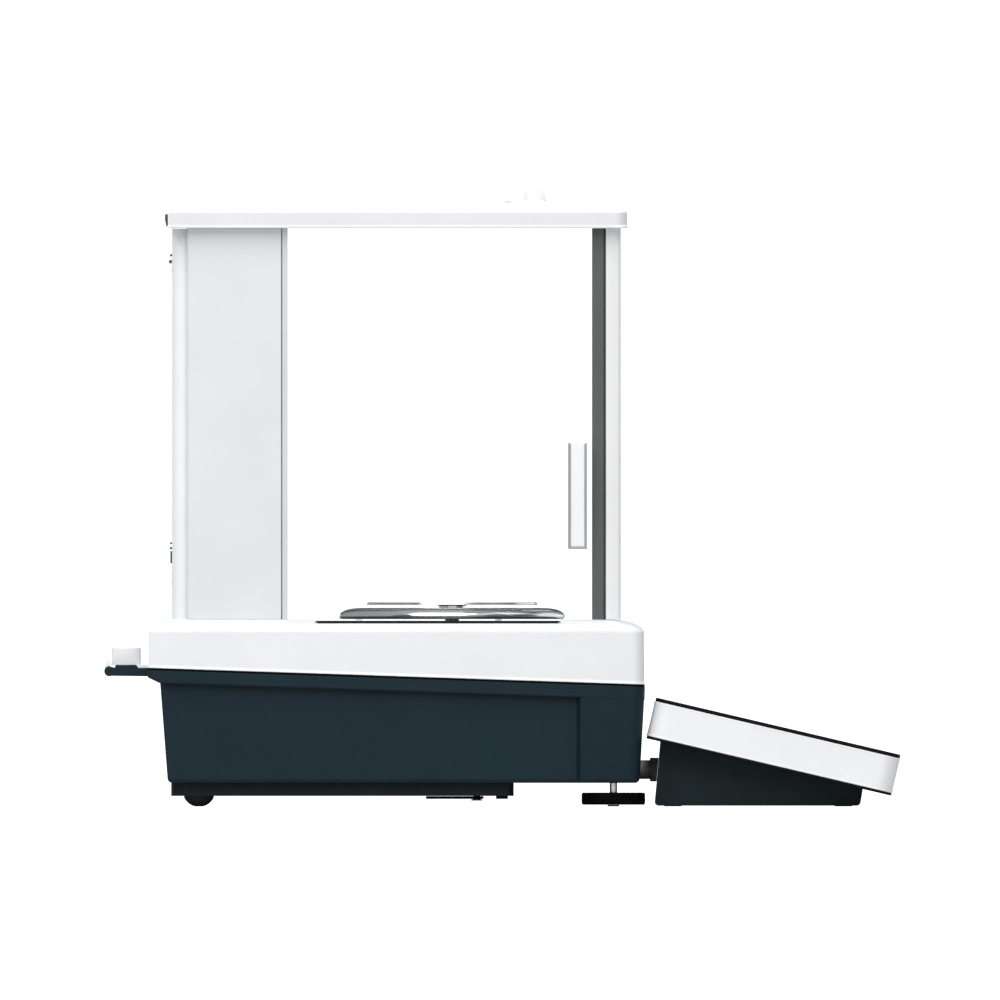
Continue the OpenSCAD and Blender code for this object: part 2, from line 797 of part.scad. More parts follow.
module chassis_plate() color([0.6, 0.62, 0.64]) {
  difference() {
    slab(120, 5, 176, chassis_z, chassis_z + chassis_t, 6);
    post(0, pan_y, 0, 40, hook_hole_r);
    for (x = [-45, 45], y = [15, 165]) post(x, y, 0, 40, 2.2);
  }
}

module weighing_hook() color("silver") {
  post(0, pan_y, 20, 40, 3);
  translate([0, pan_y, 16.5]) rotate([0, 90, 0]) difference() {
    cylinder(h = 4, r = 6, center = true);
    cylinder(h = 6, r = 3.4, center = true);
  }
}

module calibration_motor() color([0.2, 0.2, 0.22]) {
  post(cal_x, cal_y, chassis_z + chassis_t, 40, 9);
}

module calibration_screw() color("silver") {
  post(cal_x, cal_y, 40.2, 74, 2.5);
  post(cal_x, cal_y, 40.2, 43.5, 8);
}

// Fork that rides on the screw and carries the weight
module calibration_fork() color([0.85, 0.85, 0.8]) {
  difference() {
    union() {
      post(cal_x, cal_y, 46, 56, 7);
      block(cal_x - 4, cal_x + 4, cal_y, cal_y + 62, 46, 50);
      for (y = [cal_y + 20, cal_y + 52]) block(cal_x - 8, cal_x + 8, y, y + 4, 46, 54);
    }
    post(cal_x, cal_y, 40, 80, 2.56);
    translate([cal_x, cal_y + 10, 60]) rotate([-90, 0, 0]) cylinder(h = 60, r = 8);
  }
}

module calibration_weight() color("gold") {
  translate([cal_x, cal_y + 14, 60]) rotate([-90, 0, 0]) cylinder(h = 50, r = 8);
}

// ---- Weighing below ----

module hook_cover() color([0.12, 0.14, 0.15]) {
  difference() {
    union() {
      post(0, pan_y, plate_z - 1.7, plate_z - 0.1, 15);
      post(0, hook_pivot_y, plate_z - 1.7, plate_z - 0.1, 4);
    }
    post(0, hook_pivot_y, 0, 10, 2.1);
    translate([0, pan_y + 9, plate_z - 1.7]) rotate([0, 90, 0]) {
      cylinder(h = 14, r = 0.6, center = true);
    }
  }
}

module hook_cover_screw() color("silver") {
  post(0, hook_pivot_y, plate_z - 2.7, plate_z - 1.8, 3.15);
  post(0, hook_pivot_y, plate_z - 2, plate_z + 6, 2);
}

// ---- Terminal ----

// Frame of the terminal: y runs from 0 at the rear to -terminal_l, z down from 0
module on_terminal() {
  translate([0, terminal_y, terminal_z]) rotate([terminal_tilt, 0, 0]) children();
}

glass_t = 2.2;
back_t = 1.6;
terminal_r = 10;

module touch_glass() color([0.05, 0.06, 0.07]) on_terminal() {
  slab(terminal_w - 1, -terminal_l + 0.5, -0.5, -glass_t, 0, terminal_r);
}

module terminal_frame() color("white") on_terminal() difference() {
  slab(terminal_w, -terminal_l, 0, back_t - terminal_t, -glass_t, terminal_r);
  slab(terminal_w - 2 * wall, -terminal_l + wall, -wall, back_t - terminal_t - 1,
       -glass_t - 2, terminal_r - wall);
  slab(152, -terminal_l + 30, -14, -glass_t - 5, 1, 3);
}

module terminal_back() color([0.1, 0.12, 0.13]) on_terminal() {
  slab(terminal_w - 1, -terminal_l + 0.5, -0.5, -terminal_t, back_t - terminal_t, terminal_r);
}

// Display panel with its circuit board behind it
module display_module() color([0.15, 0.25, 0.2]) on_terminal() {
  slab(150, -terminal_l + 31, -15, -glass_t - 4.5, -glass_t - 0.1, 2);
  slab(158, -terminal_l + 20, -10, -glass_t - 8, -glass_t - 6.4, 2);
  for (x = [-70, 70], y = [-terminal_l + 34, -20]) post(x, y, -glass_t - 6.5, -glass_t - 4.4, 3);
}

// Side outline of the wedge stand, grown to the rear
function stand_side(grow) = concat(
  [[-92 + grow, 60], [-90.7 + grow, 37], [-87.6 + grow, 3]],
  arc(-89.6 + grow, 2.4, 2, 2, 0, -90, 3),
  arc(-203.6, 2.4, 2.4, 2, 270, 180, 3), [[-207.4, 11], [-207.4, 60]]
);

module terminal_stand() color([0.14, 0.2, 0.23]) {
  difference() {
    intersection() {
      along_x(stand_w) polygon(stand_side(0));
      on_terminal() block(-stand_w, stand_w, -terminal_l, 20, -100, -terminal_t);
    }
    along_x(stand_w - 2 * wall) polygon([[-95, 4], [-95, 60], [-199, 60], [-199, 4]]);
  }
}

module terminal_feet() color([0.1, 0.1, 0.1]) {
  for (x = [-62, 62], y = [-98, -196]) post(x, y, 0, 0.4, 5);
}

// Plug that joins the terminal to the base
module connector() color([0.3, 0.31, 0.32]) {
  difference() {
    translate([0, 0, 21.2]) rotate([90, 0, 0]) {
      translate([0, 0, 78]) cylinder(h = 7, r = 5.45);
      translate([0, 0, 84.8]) cylinder(h = 7, r = 6.85);
    }
    along_x(40) polygon(stand_side(0.05));
  }
}

base_tray();
base_shell();
seam_gasket();
bottom_plate();
bottom_screws();
rear_feet();
foot_inserts();
level_housing();
level_vial();
rear_lip();
connector_panel();
power_inlet();
data_ports();
chamber_floor();
column_housing();
column_side_left();
column_side_right();
column_trims();
rear_cover();
rear_cover_screws();
shield_latches();
main_board();
roof_frame();
front_glass();
front_posts();
front_seals();
left_door_glass();
left_door_handle();
right_door_glass();
right_door_handle();
top_door_glass();
top_door_bar();
top_door_handle();
guard_ring();
pan();
pan_support();
cell_block();
cell_magnet();
cell_coil();
chassis_plate();
weighing_hook();
calibration_weight();
calibration_fork();
calibration_screw();
calibration_motor();
foot_tip(-1);  // left_foot_tip
foot_tip(1);  // right_foot_tip
thumbwheel(-1);  // left_thumbwheel
thumbwheel(1);  // right_thumbwheel
spindle(-1);  // left_spindle
spindle(1);  // right_spindle
hook_cover();
hook_cover_screw();
terminal_stand();
terminal_frame();
terminal_back();
touch_glass();
display_module();
terminal_feet();
connector();
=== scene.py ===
import json
import math

import bmesh
import bpy
from mathutils import Matrix, Vector


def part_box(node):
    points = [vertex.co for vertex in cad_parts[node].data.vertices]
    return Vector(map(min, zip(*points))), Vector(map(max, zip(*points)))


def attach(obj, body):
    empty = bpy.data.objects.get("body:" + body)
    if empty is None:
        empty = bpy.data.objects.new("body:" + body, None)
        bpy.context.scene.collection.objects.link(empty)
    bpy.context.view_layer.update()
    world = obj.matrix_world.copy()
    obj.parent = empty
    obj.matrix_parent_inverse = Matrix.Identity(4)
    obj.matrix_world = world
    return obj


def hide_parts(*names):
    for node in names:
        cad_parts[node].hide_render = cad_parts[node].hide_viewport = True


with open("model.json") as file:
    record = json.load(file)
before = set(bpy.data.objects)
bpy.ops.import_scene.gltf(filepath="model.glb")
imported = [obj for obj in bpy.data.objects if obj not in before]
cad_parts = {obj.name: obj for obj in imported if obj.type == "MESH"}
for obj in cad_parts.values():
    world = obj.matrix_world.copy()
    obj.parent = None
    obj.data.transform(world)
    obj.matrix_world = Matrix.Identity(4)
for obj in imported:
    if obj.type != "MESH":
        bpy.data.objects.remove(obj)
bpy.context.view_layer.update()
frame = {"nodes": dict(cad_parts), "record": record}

# Shapes are worked out in millimetres and written to the meshes in metres.
MM = 0.001
SMOOTH = math.radians(32)


def box_of(node):
    """Lowest and highest corners of a CAD node, in millimetres."""
    lo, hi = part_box(node)
    return Vector(lo) / MM, Vector(hi) / MM


# ---- Camera, light and stage ----

# How bright each part of the studio is
BACKDROP = 1.6
CEILING = 1.2
WALL_LEFT = 0.1
WALL_RIGHT = 0.12
WINDOW = 0.65
SIDES = 1.0
# What the flat view shows: its width and its middle, in metres
VIEW_WIDTH = 0.575
VIEW_Y = 0.0014
VIEW_Z = 0.1762


def make_camera():
    """A flat view along +X of the balance's left side."""
    data = bpy.data.cameras.new("camera")
    data.type = "ORTHO"
    data.ortho_scale = VIEW_WIDTH
    data.clip_start = 0.01
    data.clip_end = 50
    camera = bpy.data.objects.new("camera", data)
    camera.location = (-2.0, VIEW_Y, VIEW_Z)
    camera.rotation_euler = (math.radians(90), 0, math.radians(-90))
    bpy.context.collection.objects.link(camera)
    bpy.context.scene.camera = camera


def area_light(name, place, target, size, power):
    data = bpy.data.lights.new(name, "AREA")
    data.shape = "RECTANGLE"
    data.size, data.size_y = size
    data.energy = power
    light = bpy.data.objects.new(name, data)
    light.location = place
    aim = Vector(target) - Vector(place)
    light.rotation_euler = aim.to_track_quat("-Z", "Y").to_euler()
    bpy.context.collection.objects.link(light)


def fade(nt, value, at0, at1, out0, out1):
    """A smooth change from one level to another as a value crosses a range."""
    n = nt.nodes.new("ShaderNodeMapRange")
    n.interpolation_type = "SMOOTHSTEP"
    for key, level in zip(("From Min", "From Max", "To Min", "To Max"), (at0, at1, out0, out1)):
        n.inputs[key].default_value = level
    nt.links.new(value, n.inputs["Value"])
    return n.outputs[0]


def combine(nt, mode, *values):
    """Adds, multiplies or otherwise joins several values."""
    total = values[0]
    for value in values[1:]:
        n = nt.nodes.new("ShaderNodeMath")
        n.operation = mode
        nt.links.new(total, n.inputs[0])
        nt.links.new(value, n.inputs[1])
        total = n.outputs[0]
    return total


def make_world():
    """A dim studio, bright behind the balance, above it, to its left and at both its ends."""
    world = bpy.data.worlds.new("studio")
    bpy.context.scene.world = world
    world.use_nodes = True
    nt = world.node_tree
    nt.nodes.clear()
    out = nt.nodes.new("ShaderNodeOutputWorld")
    sky = nt.nodes.new("ShaderNodeBackground")
    coord = nt.nodes.new("ShaderNodeTexCoord")
    split = nt.nodes.new("ShaderNodeSeparateXYZ")
    nt.links.new(coord.outputs["Generated"], split.inputs[0])
    x, y, z = split.outputs
    low = fade(nt, z, 0.5, 0.68, 1, 0)
    backdrop = combine(nt, "MULTIPLY", fade(nt, z, 0.05, 0.11, 1, 0),
                       fade(nt, x, 0.3, 0.95, 0, BACKDROP))
    ceiling = combine(nt, "MULTIPLY", fade(nt, z, 0.55, 0.8, 0, CEILING),
                      fade(nt, x, 0.2, 0.45, 1, 0.1))
    walls = fade(nt, x, -0.3, 0.5, WALL_LEFT, WALL_RIGHT)
    window = combine(nt, "MULTIPLY", fade(nt, x, -0.78, -0.84, 0, WINDOW), low,
                     fade(nt, y, 0.5, 0.6, 1, 0))
    ends = combine(nt, "ADD", fade(nt, y, 0.3, 0.55, 0, 0.75), fade(nt, y, -0.3, -0.55, 0, 1))
    sides = combine(nt, "MULTIPLY", low, fade(nt, x, 0.1, 0.25, 0, SIDES), ends)
    total = combine(nt, "ADD", backdrop, ceiling, walls, window, sides)
    nt.links.new(total, sky.inputs["Strength"])
    nt.links.new(sky.outputs[0], out.inputs["Surface"])


def make_floor():
    mesh = bpy.data.meshes.new("floor")
    reach = 12
    corners = [(-reach, -reach, 0), (reach, -reach, 0), (reach, reach, 0), (-reach, reach, 0)]
    mesh.from_pydata(corners, [], [(0, 1, 2, 3)])
    floor = bpy.data.objects.new("floor", mesh)
    bpy.context.collection.objects.link(floor)
    floor.data.materials.append(plastic("floor_paint", (0.6, 0.6, 0.6), 0.6, grain=0))


def make_stage():
    bpy.context.scene.view_settings.view_transform = "Standard"
    make_camera()
    make_world()
    make_floor()
    area_light("key", (-2.1, 0.6, 2.5), (0, 0.03, 0.2), (3.2, 3.2), 100)


# ---- Materials ----


def node_of(nt, kind, **values):
    n = nt.nodes.new(kind)
    for key, value in values.items():
        n.inputs[key.replace("_", " ")].default_value = value
    return n


def start_material(name):
    mat = bpy.data.materials.new(name)
    mat.use_nodes = True
    nt = mat.node_tree
    shader = nt.nodes["Principled BSDF"]
    coord = nt.nodes.new("ShaderNodeTexCoord")
    return mat, nt, shader, coord.outputs["Object"]


def noise(nt, place, scale, detail=3.0, stretch=None):
    n = node_of(nt, "ShaderNodeTexNoise", Scale=scale, Detail=detail)
    if stretch:
        mapping = node_of(nt, "ShaderNodeMapping", Scale=stretch)
        nt.links.new(place, mapping.inputs["Vector"])
        place = mapping.outputs[0]
    nt.links.new(place, n.inputs["Vector"])
    return n.outputs["Fac"]


def spread(nt, value, low, high):
    """Maps the middle of a noise to a range."""
    n = node_of(nt, "ShaderNodeMapRange", From_Min=0.3, From_Max=0.7, To_Min=low, To_Max=high)
    nt.links.new(value, n.inputs["Value"])
    return n.outputs[0]


def tint(nt, value, colour, change):
    """A colour that varies a little in brightness with a noise."""
    n = nt.nodes.new("ShaderNodeMix")
    n.data_type = "RGBA"
    n.inputs["A"].default_value = (*[c * (1 - change) for c in colour], 1)
    n.inputs["B"].default_value = (*[min(1, c * (1 + change)) for c in colour], 1)
    nt.links.new(value, n.inputs["Factor"])
    return n.outputs["Result"]


def bump(nt, shader, height, strength, distance):
    n = node_of(nt, "ShaderNodeBump", Strength=strength, Distance=distance)
    nt.links.new(height, n.inputs["Height"])
    nt.links.new(n.outputs[0], shader.inputs["Normal"])


def plastic(name, colour, rough, grain=0.12, size=2200, change=0.02, spec=0.5, coat=0.0, metal=0.0):
    """Moulded plastic or powder paint: fine grain, slow changes in shade and in gloss."""
    mat, nt, shader, place = start_material(name)
    slow = spread(nt, noise(nt, place, 26), 0, 1)
    nt.links.new(tint(nt, slow, colour, change), shader.inputs["Base Color"])
    gloss = spread(nt, noise(nt, place, 90, 4), rough * 0.85, rough * 1.15)
    nt.links.new(gloss, shader.inputs["Roughness"])
    shader.inputs["Specular IOR Level"].default_value = spec
    shader.inputs["Coat Weight"].default_value = coat
    shader.inputs["Coat Roughness"].default_value = 0.08
    shader.inputs["Metallic"].default_value = metal
    if grain:
        bump(nt, shader, noise(nt, place, size, 2), grain, 0.0002)
    return mat


def brushed(name, colour, rough, stretch, strength=0.08):
    """Metal with fine lines along one direction."""
    mat, nt, shader, place = start_material(name)
    lines = noise(nt, place, 400, 4, stretch)
    nt.links.new(tint(nt, spread(nt, lines, 0, 1), colour, 0.05), shader.inputs["Base Color"])
    nt.links.new(spread(nt, lines, rough * 0.7, rough * 1.3), shader.inputs["Roughness"])
    shader.inputs["Metallic"].default_value = 1.0
    bump(nt, shader, lines, strength, 0.0001)
    return mat


def polished(name, colour, rough):
    """Polished steel with faint smears and wiping marks."""
    mat, nt, shader, place = start_material(name)
    smear = noise(nt, place, 38, 5)
    nt.links.new(tint(nt, spread(nt, smear, 0, 1), colour, 0.03), shader.inputs["Base Color"])
    nt.links.new(spread(nt, smear, rough * 0.6, rough * 1.6), shader.inputs["Roughness"])
    shader.inputs["Metallic"].default_value = 1.0
    bump(nt, shader, noise(nt, place, 900, 2), 0.02, 0.0001)
    return mat


def pane_glass(name):
    """Clear float glass that lets light straight through and mirrors more at a slant."""
    mat, nt, shader, place = start_material(name)
    nt.nodes.remove(shader)
    out = nt.nodes["Material Output"]
    clear = node_of(nt, "ShaderNodeBsdfTransparent", Color=(0.985, 0.995, 0.992, 1))
    shine = node_of(nt, "ShaderNodeBsdfAnisotropic", Color=(1, 1, 1, 1))
    nt.links.new(spread(nt, noise(nt, place, 30), 0.0, 0.015), shine.inputs["Roughness"])
    # The mirror is on the faces seen from outside only: a ray inside the glass always gets out.
    fresnel = node_of(nt, "ShaderNodeFresnel", IOR=1.5)
    side = nt.nodes.new("ShaderNodeNewGeometry")
    outside = fade(nt, side.outputs["Backfacing"], 0.0, 1.0, 1.0, 0.0)
    mix = nt.nodes.new("ShaderNodeMixShader")
    nt.links.new(combine(nt, "MULTIPLY", fresnel.outputs[0], outside), mix.inputs[0])
    nt.links.new(clear.outputs[0], mix.inputs[1])
    nt.links.new(shine.outputs[0], mix.inputs[2])
    nt.links.new(mix.outputs[0], out.inputs["Surface"])
    return mat


def frosted(name, colour, share):
    """Clear plastic with a frosted skin, which lets a share of the light straight through."""
    mat, nt, shader, place = start_material(name)
    slow = spread(nt, noise(nt, place, 60), 0, 1)
    nt.links.new(tint(nt, slow, colour, 0.02), shader.inputs["Base Color"])
    nt.links.new(spread(nt, noise(nt, place, 300), 0.2, 0.35), shader.inputs["Roughness"])
    clear = node_of(nt, "ShaderNodeBsdfTransparent", Color=(0.985, 0.99, 1, 1))
    mix = nt.nodes.new("ShaderNodeMixShader")
    mix.inputs[0].default_value = share
    nt.links.new(shader.outputs[0], mix.inputs[1])
    nt.links.new(clear.outputs[0], mix.inputs[2])
    nt.links.new(mix.outputs[0], nt.nodes["Material Output"].inputs["Surface"])
    return mat


def clear_plastic(name, colour, rough, through):
    """Frosted translucent plastic."""
    mat, nt, shader, place = start_material(name)
    slow = spread(nt, noise(nt, place, 60), 0, 1)
    nt.links.new(tint(nt, slow, colour, 0.02), shader.inputs["Base Color"])
    nt.links.new(spread(nt, noise(nt, place, 300), rough * 0.8, rough * 1.2),
                 shader.inputs["Roughness"])
    shader.inputs["Transmission Weight"].default_value = through
    shader.inputs["IOR"].default_value = 1.49
    return mat


MATERIALS = {
    "white_shell": lambda: plastic("white_shell", (0.79, 0.805, 0.825), 0.38, 0.08),
    "tray_dark": lambda: plastic("tray_dark", (0.0045, 0.0175, 0.027), 0.5, 0.25, 1500, 0.1, 0.19),
    "seam_black": lambda: plastic("seam_black", (0.0025, 0.0025, 0.003), 0.7, spec=0.05),
    "cast_black": lambda: plastic("cast_black", (0.004, 0.011, 0.014), 0.55, 0.3, 1200, 0.1, 0.2),
    "screw_steel": lambda: brushed("screw_steel", (0.62, 0.63, 0.64), 0.28, (1, 1, 0.2)),
    "foot_rubber": lambda: plastic("foot_rubber", (0.006, 0.011, 0.014), 0.6, 0.3, 1300, 0.1, 0.25),
    "insert_brass": lambda: brushed("insert_brass", (0.8, 0.58, 0.26), 0.25, (1, 1, 0.1)),
    "level_white": lambda: plastic("level_white", (0.92, 0.93, 0.94), 0.4, 0.05),
    "vial_clear": lambda: clear_plastic("vial_clear", (0.75, 0.9, 0.45), 0.05, 0.8),
    "panel_black": lambda: plastic("panel_black", (0.012, 0.014, 0.016), 0.5, 0.25, 1500, 0.1, 0.3),
    "socket_metal": lambda: brushed("socket_metal", (0.62, 0.63, 0.64), 0.3, (0.2, 1, 1)),
    "floor_black": lambda: plastic("floor_black", (0.008, 0.008, 0.009), 0.25, 0.03, spec=0.3),
    # Darker than the shell's white: painted shade on the column's side panels under the roof.
    "column_white": lambda: plastic("column_white", (0.71, 0.725, 0.74), 0.42, 0.15, 1700),
    # Lighter than the shell's white: painted light on the rear cover, where light from behind falls.
    "cover_white": lambda: plastic("cover_white", (0.84, 0.855, 0.87), 0.42, 0.15, 1700),
    # The roof is one white: its upward faces take a lighter copy (painted light on the top) and its
    # sides a darker copy (painted shade).
    "roof_top_painted_light": lambda: plastic("roof_top_painted_light", (0.93, 0.94, 0.955), 0.38, 0.08),
    "roof_side_painted_shade": lambda: plastic("roof_side_painted_shade", (0.72, 0.735, 0.755), 0.38, 0.08),
    "trim_grey": lambda: plastic("trim_grey", (0.615, 0.63, 0.64), 0.45, 0.1),
    "latch_grey": lambda: plastic("latch_grey", (0.06, 0.062, 0.066), 0.45, 0.15),
    "board_green": lambda: plastic("board_green", (0.02, 0.14, 0.06), 0.35, 0.05, change=0.08),
    "shield_glass": lambda: pane_glass("shield_glass"),
    "glass_edge": lambda: clear_plastic("glass_edge", (0.72, 0.87, 0.83), 0.25, 0.7),
    "post_white": lambda: plastic("post_white", (0.79, 0.805, 0.82), 0.36, 0.1),
    "seal_grey": lambda: plastic("seal_grey", (0.1, 0.1, 0.1), 0.55, 0.2, 1500, 0.06, 0.3),
    "handle_white": lambda: plastic("handle_white", (0.85, 0.865, 0.885), 0.3, 0.04),
    "handle_rim": lambda: plastic("handle_rim", (0.36, 0.37, 0.38), 0.35, 0.05, metal=0.3),
    "handle_clear": lambda: frosted("handle_clear", (0.86, 0.88, 0.95), 0.5),
    "pan_steel": lambda: polished("pan_steel", (0.86, 0.86, 0.865), 0.06),
    "cell_aluminium": lambda: brushed("cell_aluminium", (0.86, 0.87, 0.88), 0.5, (1, 0.05, 1)),
    "magnet_iron": lambda: plastic("magnet_iron", (0.3, 0.3, 0.31), 0.35, 0.1, metal=1.0),
    "coil_copper": lambda: brushed("coil_copper", (0.75, 0.36, 0.18), 0.3, (1, 1, 12)),
    "weight_brass": lambda: brushed("weight_brass", (0.8, 0.63, 0.32), 0.2, (1, 0.1, 1)),
    "wheel_black": lambda: plastic("wheel_black", (0.002, 0.0022, 0.0022), 0.7, 0.15, 1500, 0.1, 0.04),
    "touch_black": lambda: plastic("touch_black", (0.004, 0.0045, 0.005), 0.12, 0, spec=0.35),
    "terminal_white": lambda: plastic("terminal_white", (0.84, 0.85, 0.865), 0.36, 0.08),
    "stand_dark": lambda: plastic("stand_dark", (0.004, 0.015, 0.018), 0.5, 0.25, 1500, 0.1, 0.2),
    # Much lighter than the connector's own grey: painted light, as it sits in shade between the
    # terminal and the base.
    "connector_grey": lambda: plastic("connector_grey", (0.86, 0.88, 0.88), 0.45, 0.15),
    "edge_black": lambda: plastic("edge_black", (0.003, 0.003, 0.004), 0.6, 0.1, spec=0.12),
    "display_off": lambda: plastic("display_off", (0.02, 0.024, 0.03), 0.18, 0, spec=0.35),
    "key_print": lambda: plastic("key_print", (0.45, 0.47, 0.48), 0.4, 0, spec=0.3),
    "spindle_steel": lambda: polished("spindle_steel", (0.8, 0.8, 0.81), 0.16),
    "pin_grey": lambda: brushed("pin_grey", (0.2, 0.2, 0.21), 0.4, (1, 1, 1)),
    "pad_clear": lambda: frosted("pad_clear", (0.95, 0.96, 0.97), 0.85),
    "bubble": lambda: clear_plastic("bubble", (0.95, 0.99, 0.9), 0.03, 0.9),
}
made = {}


def material(name):
    if name not in made:
        made[name] = MATERIALS[name]()
    return made[name]


# ---- Mesh tools ----


def flat(z):
    """A ring's height: a number, or a function of y."""
    return z if callable(z) else lambda y: z


def plan_ring(half_w, y0, y1, r, z, n=6, rear_r=None):
    """Points of a rectangle with round corners, centred on the middle plane."""
    height = flat(z)
    rear_r = rear_r or r
    points = []
    corners = [(1, y0, 1, r, -90), (1, y1, -1, rear_r, 0), (-1, y1, -1, rear_r, 90),
               (-1, y0, 1, r, 180)]
    for side, edge, inward, radius, start in corners:
        cx, cy = side * (half_w - radius), edge + inward * radius
        for i in range(n + 1):
            a = math.radians(start + 90 * i / n)
            x, y = cx + radius * math.cos(a), cy + radius * math.sin(a)
            points.append(Vector((x, y, height(y))))
    return points


def bridge(bm, ring_a, ring_b):
    count = len(ring_a)
    for i in range(count):
        j = (i + 1) % count
        bm.faces.new((ring_a[i], ring_a[j], ring_b[j], ring_b[i]))


def stack(rings, close=False):
    """A closed body through rings of points, with a face at each end, or joined end to end."""
    bm = bmesh.new()
    made_rings = [[bm.verts.new(p) for p in ring] for ring in rings]
    for a, b in zip(made_rings, made_rings[1:]):
        bridge(bm, a, b)
    if close:
        bridge(bm, made_rings[-1], made_rings[0])
    else:
        bm.faces.new(list(reversed(made_rings[0])))
        bm.faces.new(made_rings[-1])
    bmesh.ops.recalc_face_normals(bm, faces=bm.faces)
    return bm


def prism(outline, x0, x1):
    """A YZ outline run along X."""
    return stack([[Vector((x, y, z)) for y, z in outline] for x in (x0, x1)])


def block(x0, x1, y0, y1, z0, z1):
    return prism([(y0, z0), (y1, z0), (y1, z1), (y0, z1)], x0, x1)


def cylinder(x, y, z0, z1, r, n=48):
    rings = []
    for z in (z0, z1):
        turns = [2 * math.pi * i / n for i in range(n)]
        rings.append([Vector((x + r * math.cos(a), y + r * math.sin(a), z)) for a in turns])
    return stack(rings)


def lathe(profile, x, y, n=96, close=True):
    """A profile of (radius, height) turned about an upright line."""
    bm = bmesh.new()
    columns = []
    for i in range(n):
        a = 2 * math.pi * i / n
        columns.append([bm.verts.new((x + r * math.cos(a), y + r * math.sin(a), z))
                        for r, z in profile])
    for i in range(n):
        a, b = columns[i], columns[(i + 1) % n]
        last = len(profile) if close else len(profile) - 1
        for k in range(last):
            m = (k + 1) % len(profile)
            bm.faces.new((a[k], b[k], b[m], a[m]))
    bmesh.ops.remove_doubles(bm, verts=bm.verts, dist=1e-5)
    bmesh.ops.recalc_face_normals(bm, faces=bm.faces)
    return bm


def arc(cx, cy, rx, ry, a0, a1, n=8):
    """Points of an ellipse arc from angle a0 to a1, in degrees."""
    turns = [math.radians(a0 + (a1 - a0) * i / n) for i in range(n + 1)]
    return [(cx + rx * math.cos(a), cy + ry * math.sin(a)) for a in turns]


def bevel(bm, width, angle=35, segments=3):
    """Rounds every edge that is sharper than an angle."""
    limit = math.radians(angle)
    sharp = [e for e in bm.edges if len(e.link_faces) == 2 and e.calc_face_angle(0) > limit]
    bmesh.ops.bevel(bm, geom=sharp, offset=width, segments=segments, profile=0.5,
                    affect="EDGES", clamp_overlap=True)
    return bm


def to_object(bm, name):
    mesh = bpy.data.meshes.new(name)
    bm.to_mesh(mesh)
    bm.free()
    obj = bpy.data.objects.new(name, mesh)
    bpy.context.collection.objects.link(obj)
    return obj


def cut(bm, cutters, mode="DIFFERENCE"):
    """Takes bodies away from a body, or joins them to it, exactly."""
    obj = to_object(bm, "work")
    tools = [to_object(c, "tool") for c in cutters]
    for tool in tools:
        step = obj.modifiers.new("cut", "BOOLEAN")
        step.operation = mode
        step.solver = "EXACT"
        step.object = tool
    result = bpy.data.meshes.new_from_object(obj.evaluated_get(
        bpy.context.evaluated_depsgraph_get()))
    out = bmesh.new()
    out.from_mesh(result)
    for o in [obj, *tools]:
        mesh = o.data
        bpy.data.objects.remove(o)
        bpy.data.meshes.remove(mesh)
    bpy.data.meshes.remove(result)
    bmesh.ops.remove_doubles(out, verts=out.verts, dist=1e-4)
    bmesh.ops.dissolve_limit(out, angle_limit=math.radians(0.5), verts=out.verts,
                             edges=out.edges)
    return out


def from_cad(node):
    """A copy of a CAD node's mesh, cleaned, in millimetres."""
    bm = bmesh.new()
    bm.from_mesh(frame["nodes"][node].data)
    bmesh.ops.scale(bm, vec=(1 / MM,) * 3, verts=bm.verts)
    bmesh.ops.remove_doubles(bm, verts=bm.verts, dist=1e-3)
    bmesh.ops.dissolve_limit(bm, angle_limit=math.radians(0.5), verts=bm.verts, edges=bm.edges)
    return bm


def joined(*parts):
    """Several separate bodies in one mesh."""
    whole = bmesh.new()
    for part in parts:
        mesh = bpy.data.meshes.new("part")
        part.to_mesh(mesh)
        part.free()
        whole.from_mesh(mesh)
        bpy.data.meshes.remove(mesh)
    return whole


def mirrored(bm):
    """The same body on the other side of the middle plane."""
    copy = bm.copy()
    bmesh.ops.scale(copy, vec=(-1, 1, 1), verts=copy.verts)
    bmesh.ops.reverse_faces(copy, faces=copy.faces)
    return copy


def turned(bm, matrix):
    bmesh.ops.transform(bm, matrix=matrix, verts=bm.verts)
    return bm


def shade(obj, smooth):
    """Smooth shading that keeps large faces flat and sharp edges sharp."""
    for polygon in obj.data.polygons:
        polygon.use_smooth = True
    obj.data.set_sharp_from_angle(angle=smooth)
    step = obj.modifiers.new("normals", "WEIGHTED_NORMAL")
    step.keep_sharp = True
    step.weight = 80
    ready = bpy.data.meshes.new_from_object(obj.evaluated_get(
        bpy.context.evaluated_depsgraph_get()))
    rough = obj.data
    obj.modifiers.clear()
    obj.data = ready
    bpy.data.meshes.remove(rough)


def piece(name, bm, body, mat, replaces=(), smooth=SMOOTH):
    """Writes a body to a mesh object in metres and gives it to a CAD body."""
    bmesh.ops.scale(bm, vec=(MM,) * 3, verts=bm.verts)
    obj = to_object(bm, name)
    shade(obj, smooth)
    obj.data.materials.append(material(mat))
    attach(obj, body)
    for node in replaces:
        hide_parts(node)
    return obj


def refined(node, body, mat, width=0.35, angle=35):
    """A CAD node with its edges rounded."""
    return piece(node + "_finish", bevel(from_cad(node), width, angle), body, mat, [node])


# ---- Base ----

shell_lo, shell_hi = box_of("base_shell")
tray_lo, tray_hi = box_of("base_tray")
HALF_W = shell_hi.x
FRONT_Y = -82.0
REAR_Y = 204.0
DECK_Z = shell_hi.z
SHOULDER_H = 8.0
FRONT_RUN = 20.0
REAR_RUN = 24.0
SIDE_RUN = 12.0
CORNER_R = 7.0
WALL = 3.0
SEAM_FRONT_Z = 69.5
SEAM_REAR_Z = 79.1
SHELF_Z = 79.6
TRAY_Z = tray_lo.z
STEP_Y = -45.0
SHELF_STEP_Y = 209.2


def seam_z(y):
    return SEAM_FRONT_Z + (y - FRONT_Y) * (SEAM_REAR_Z - SEAM_FRONT_Z) / (REAR_Y - FRONT_Y)


def seam_at(dz):
    return lambda y: seam_z(y) + dz


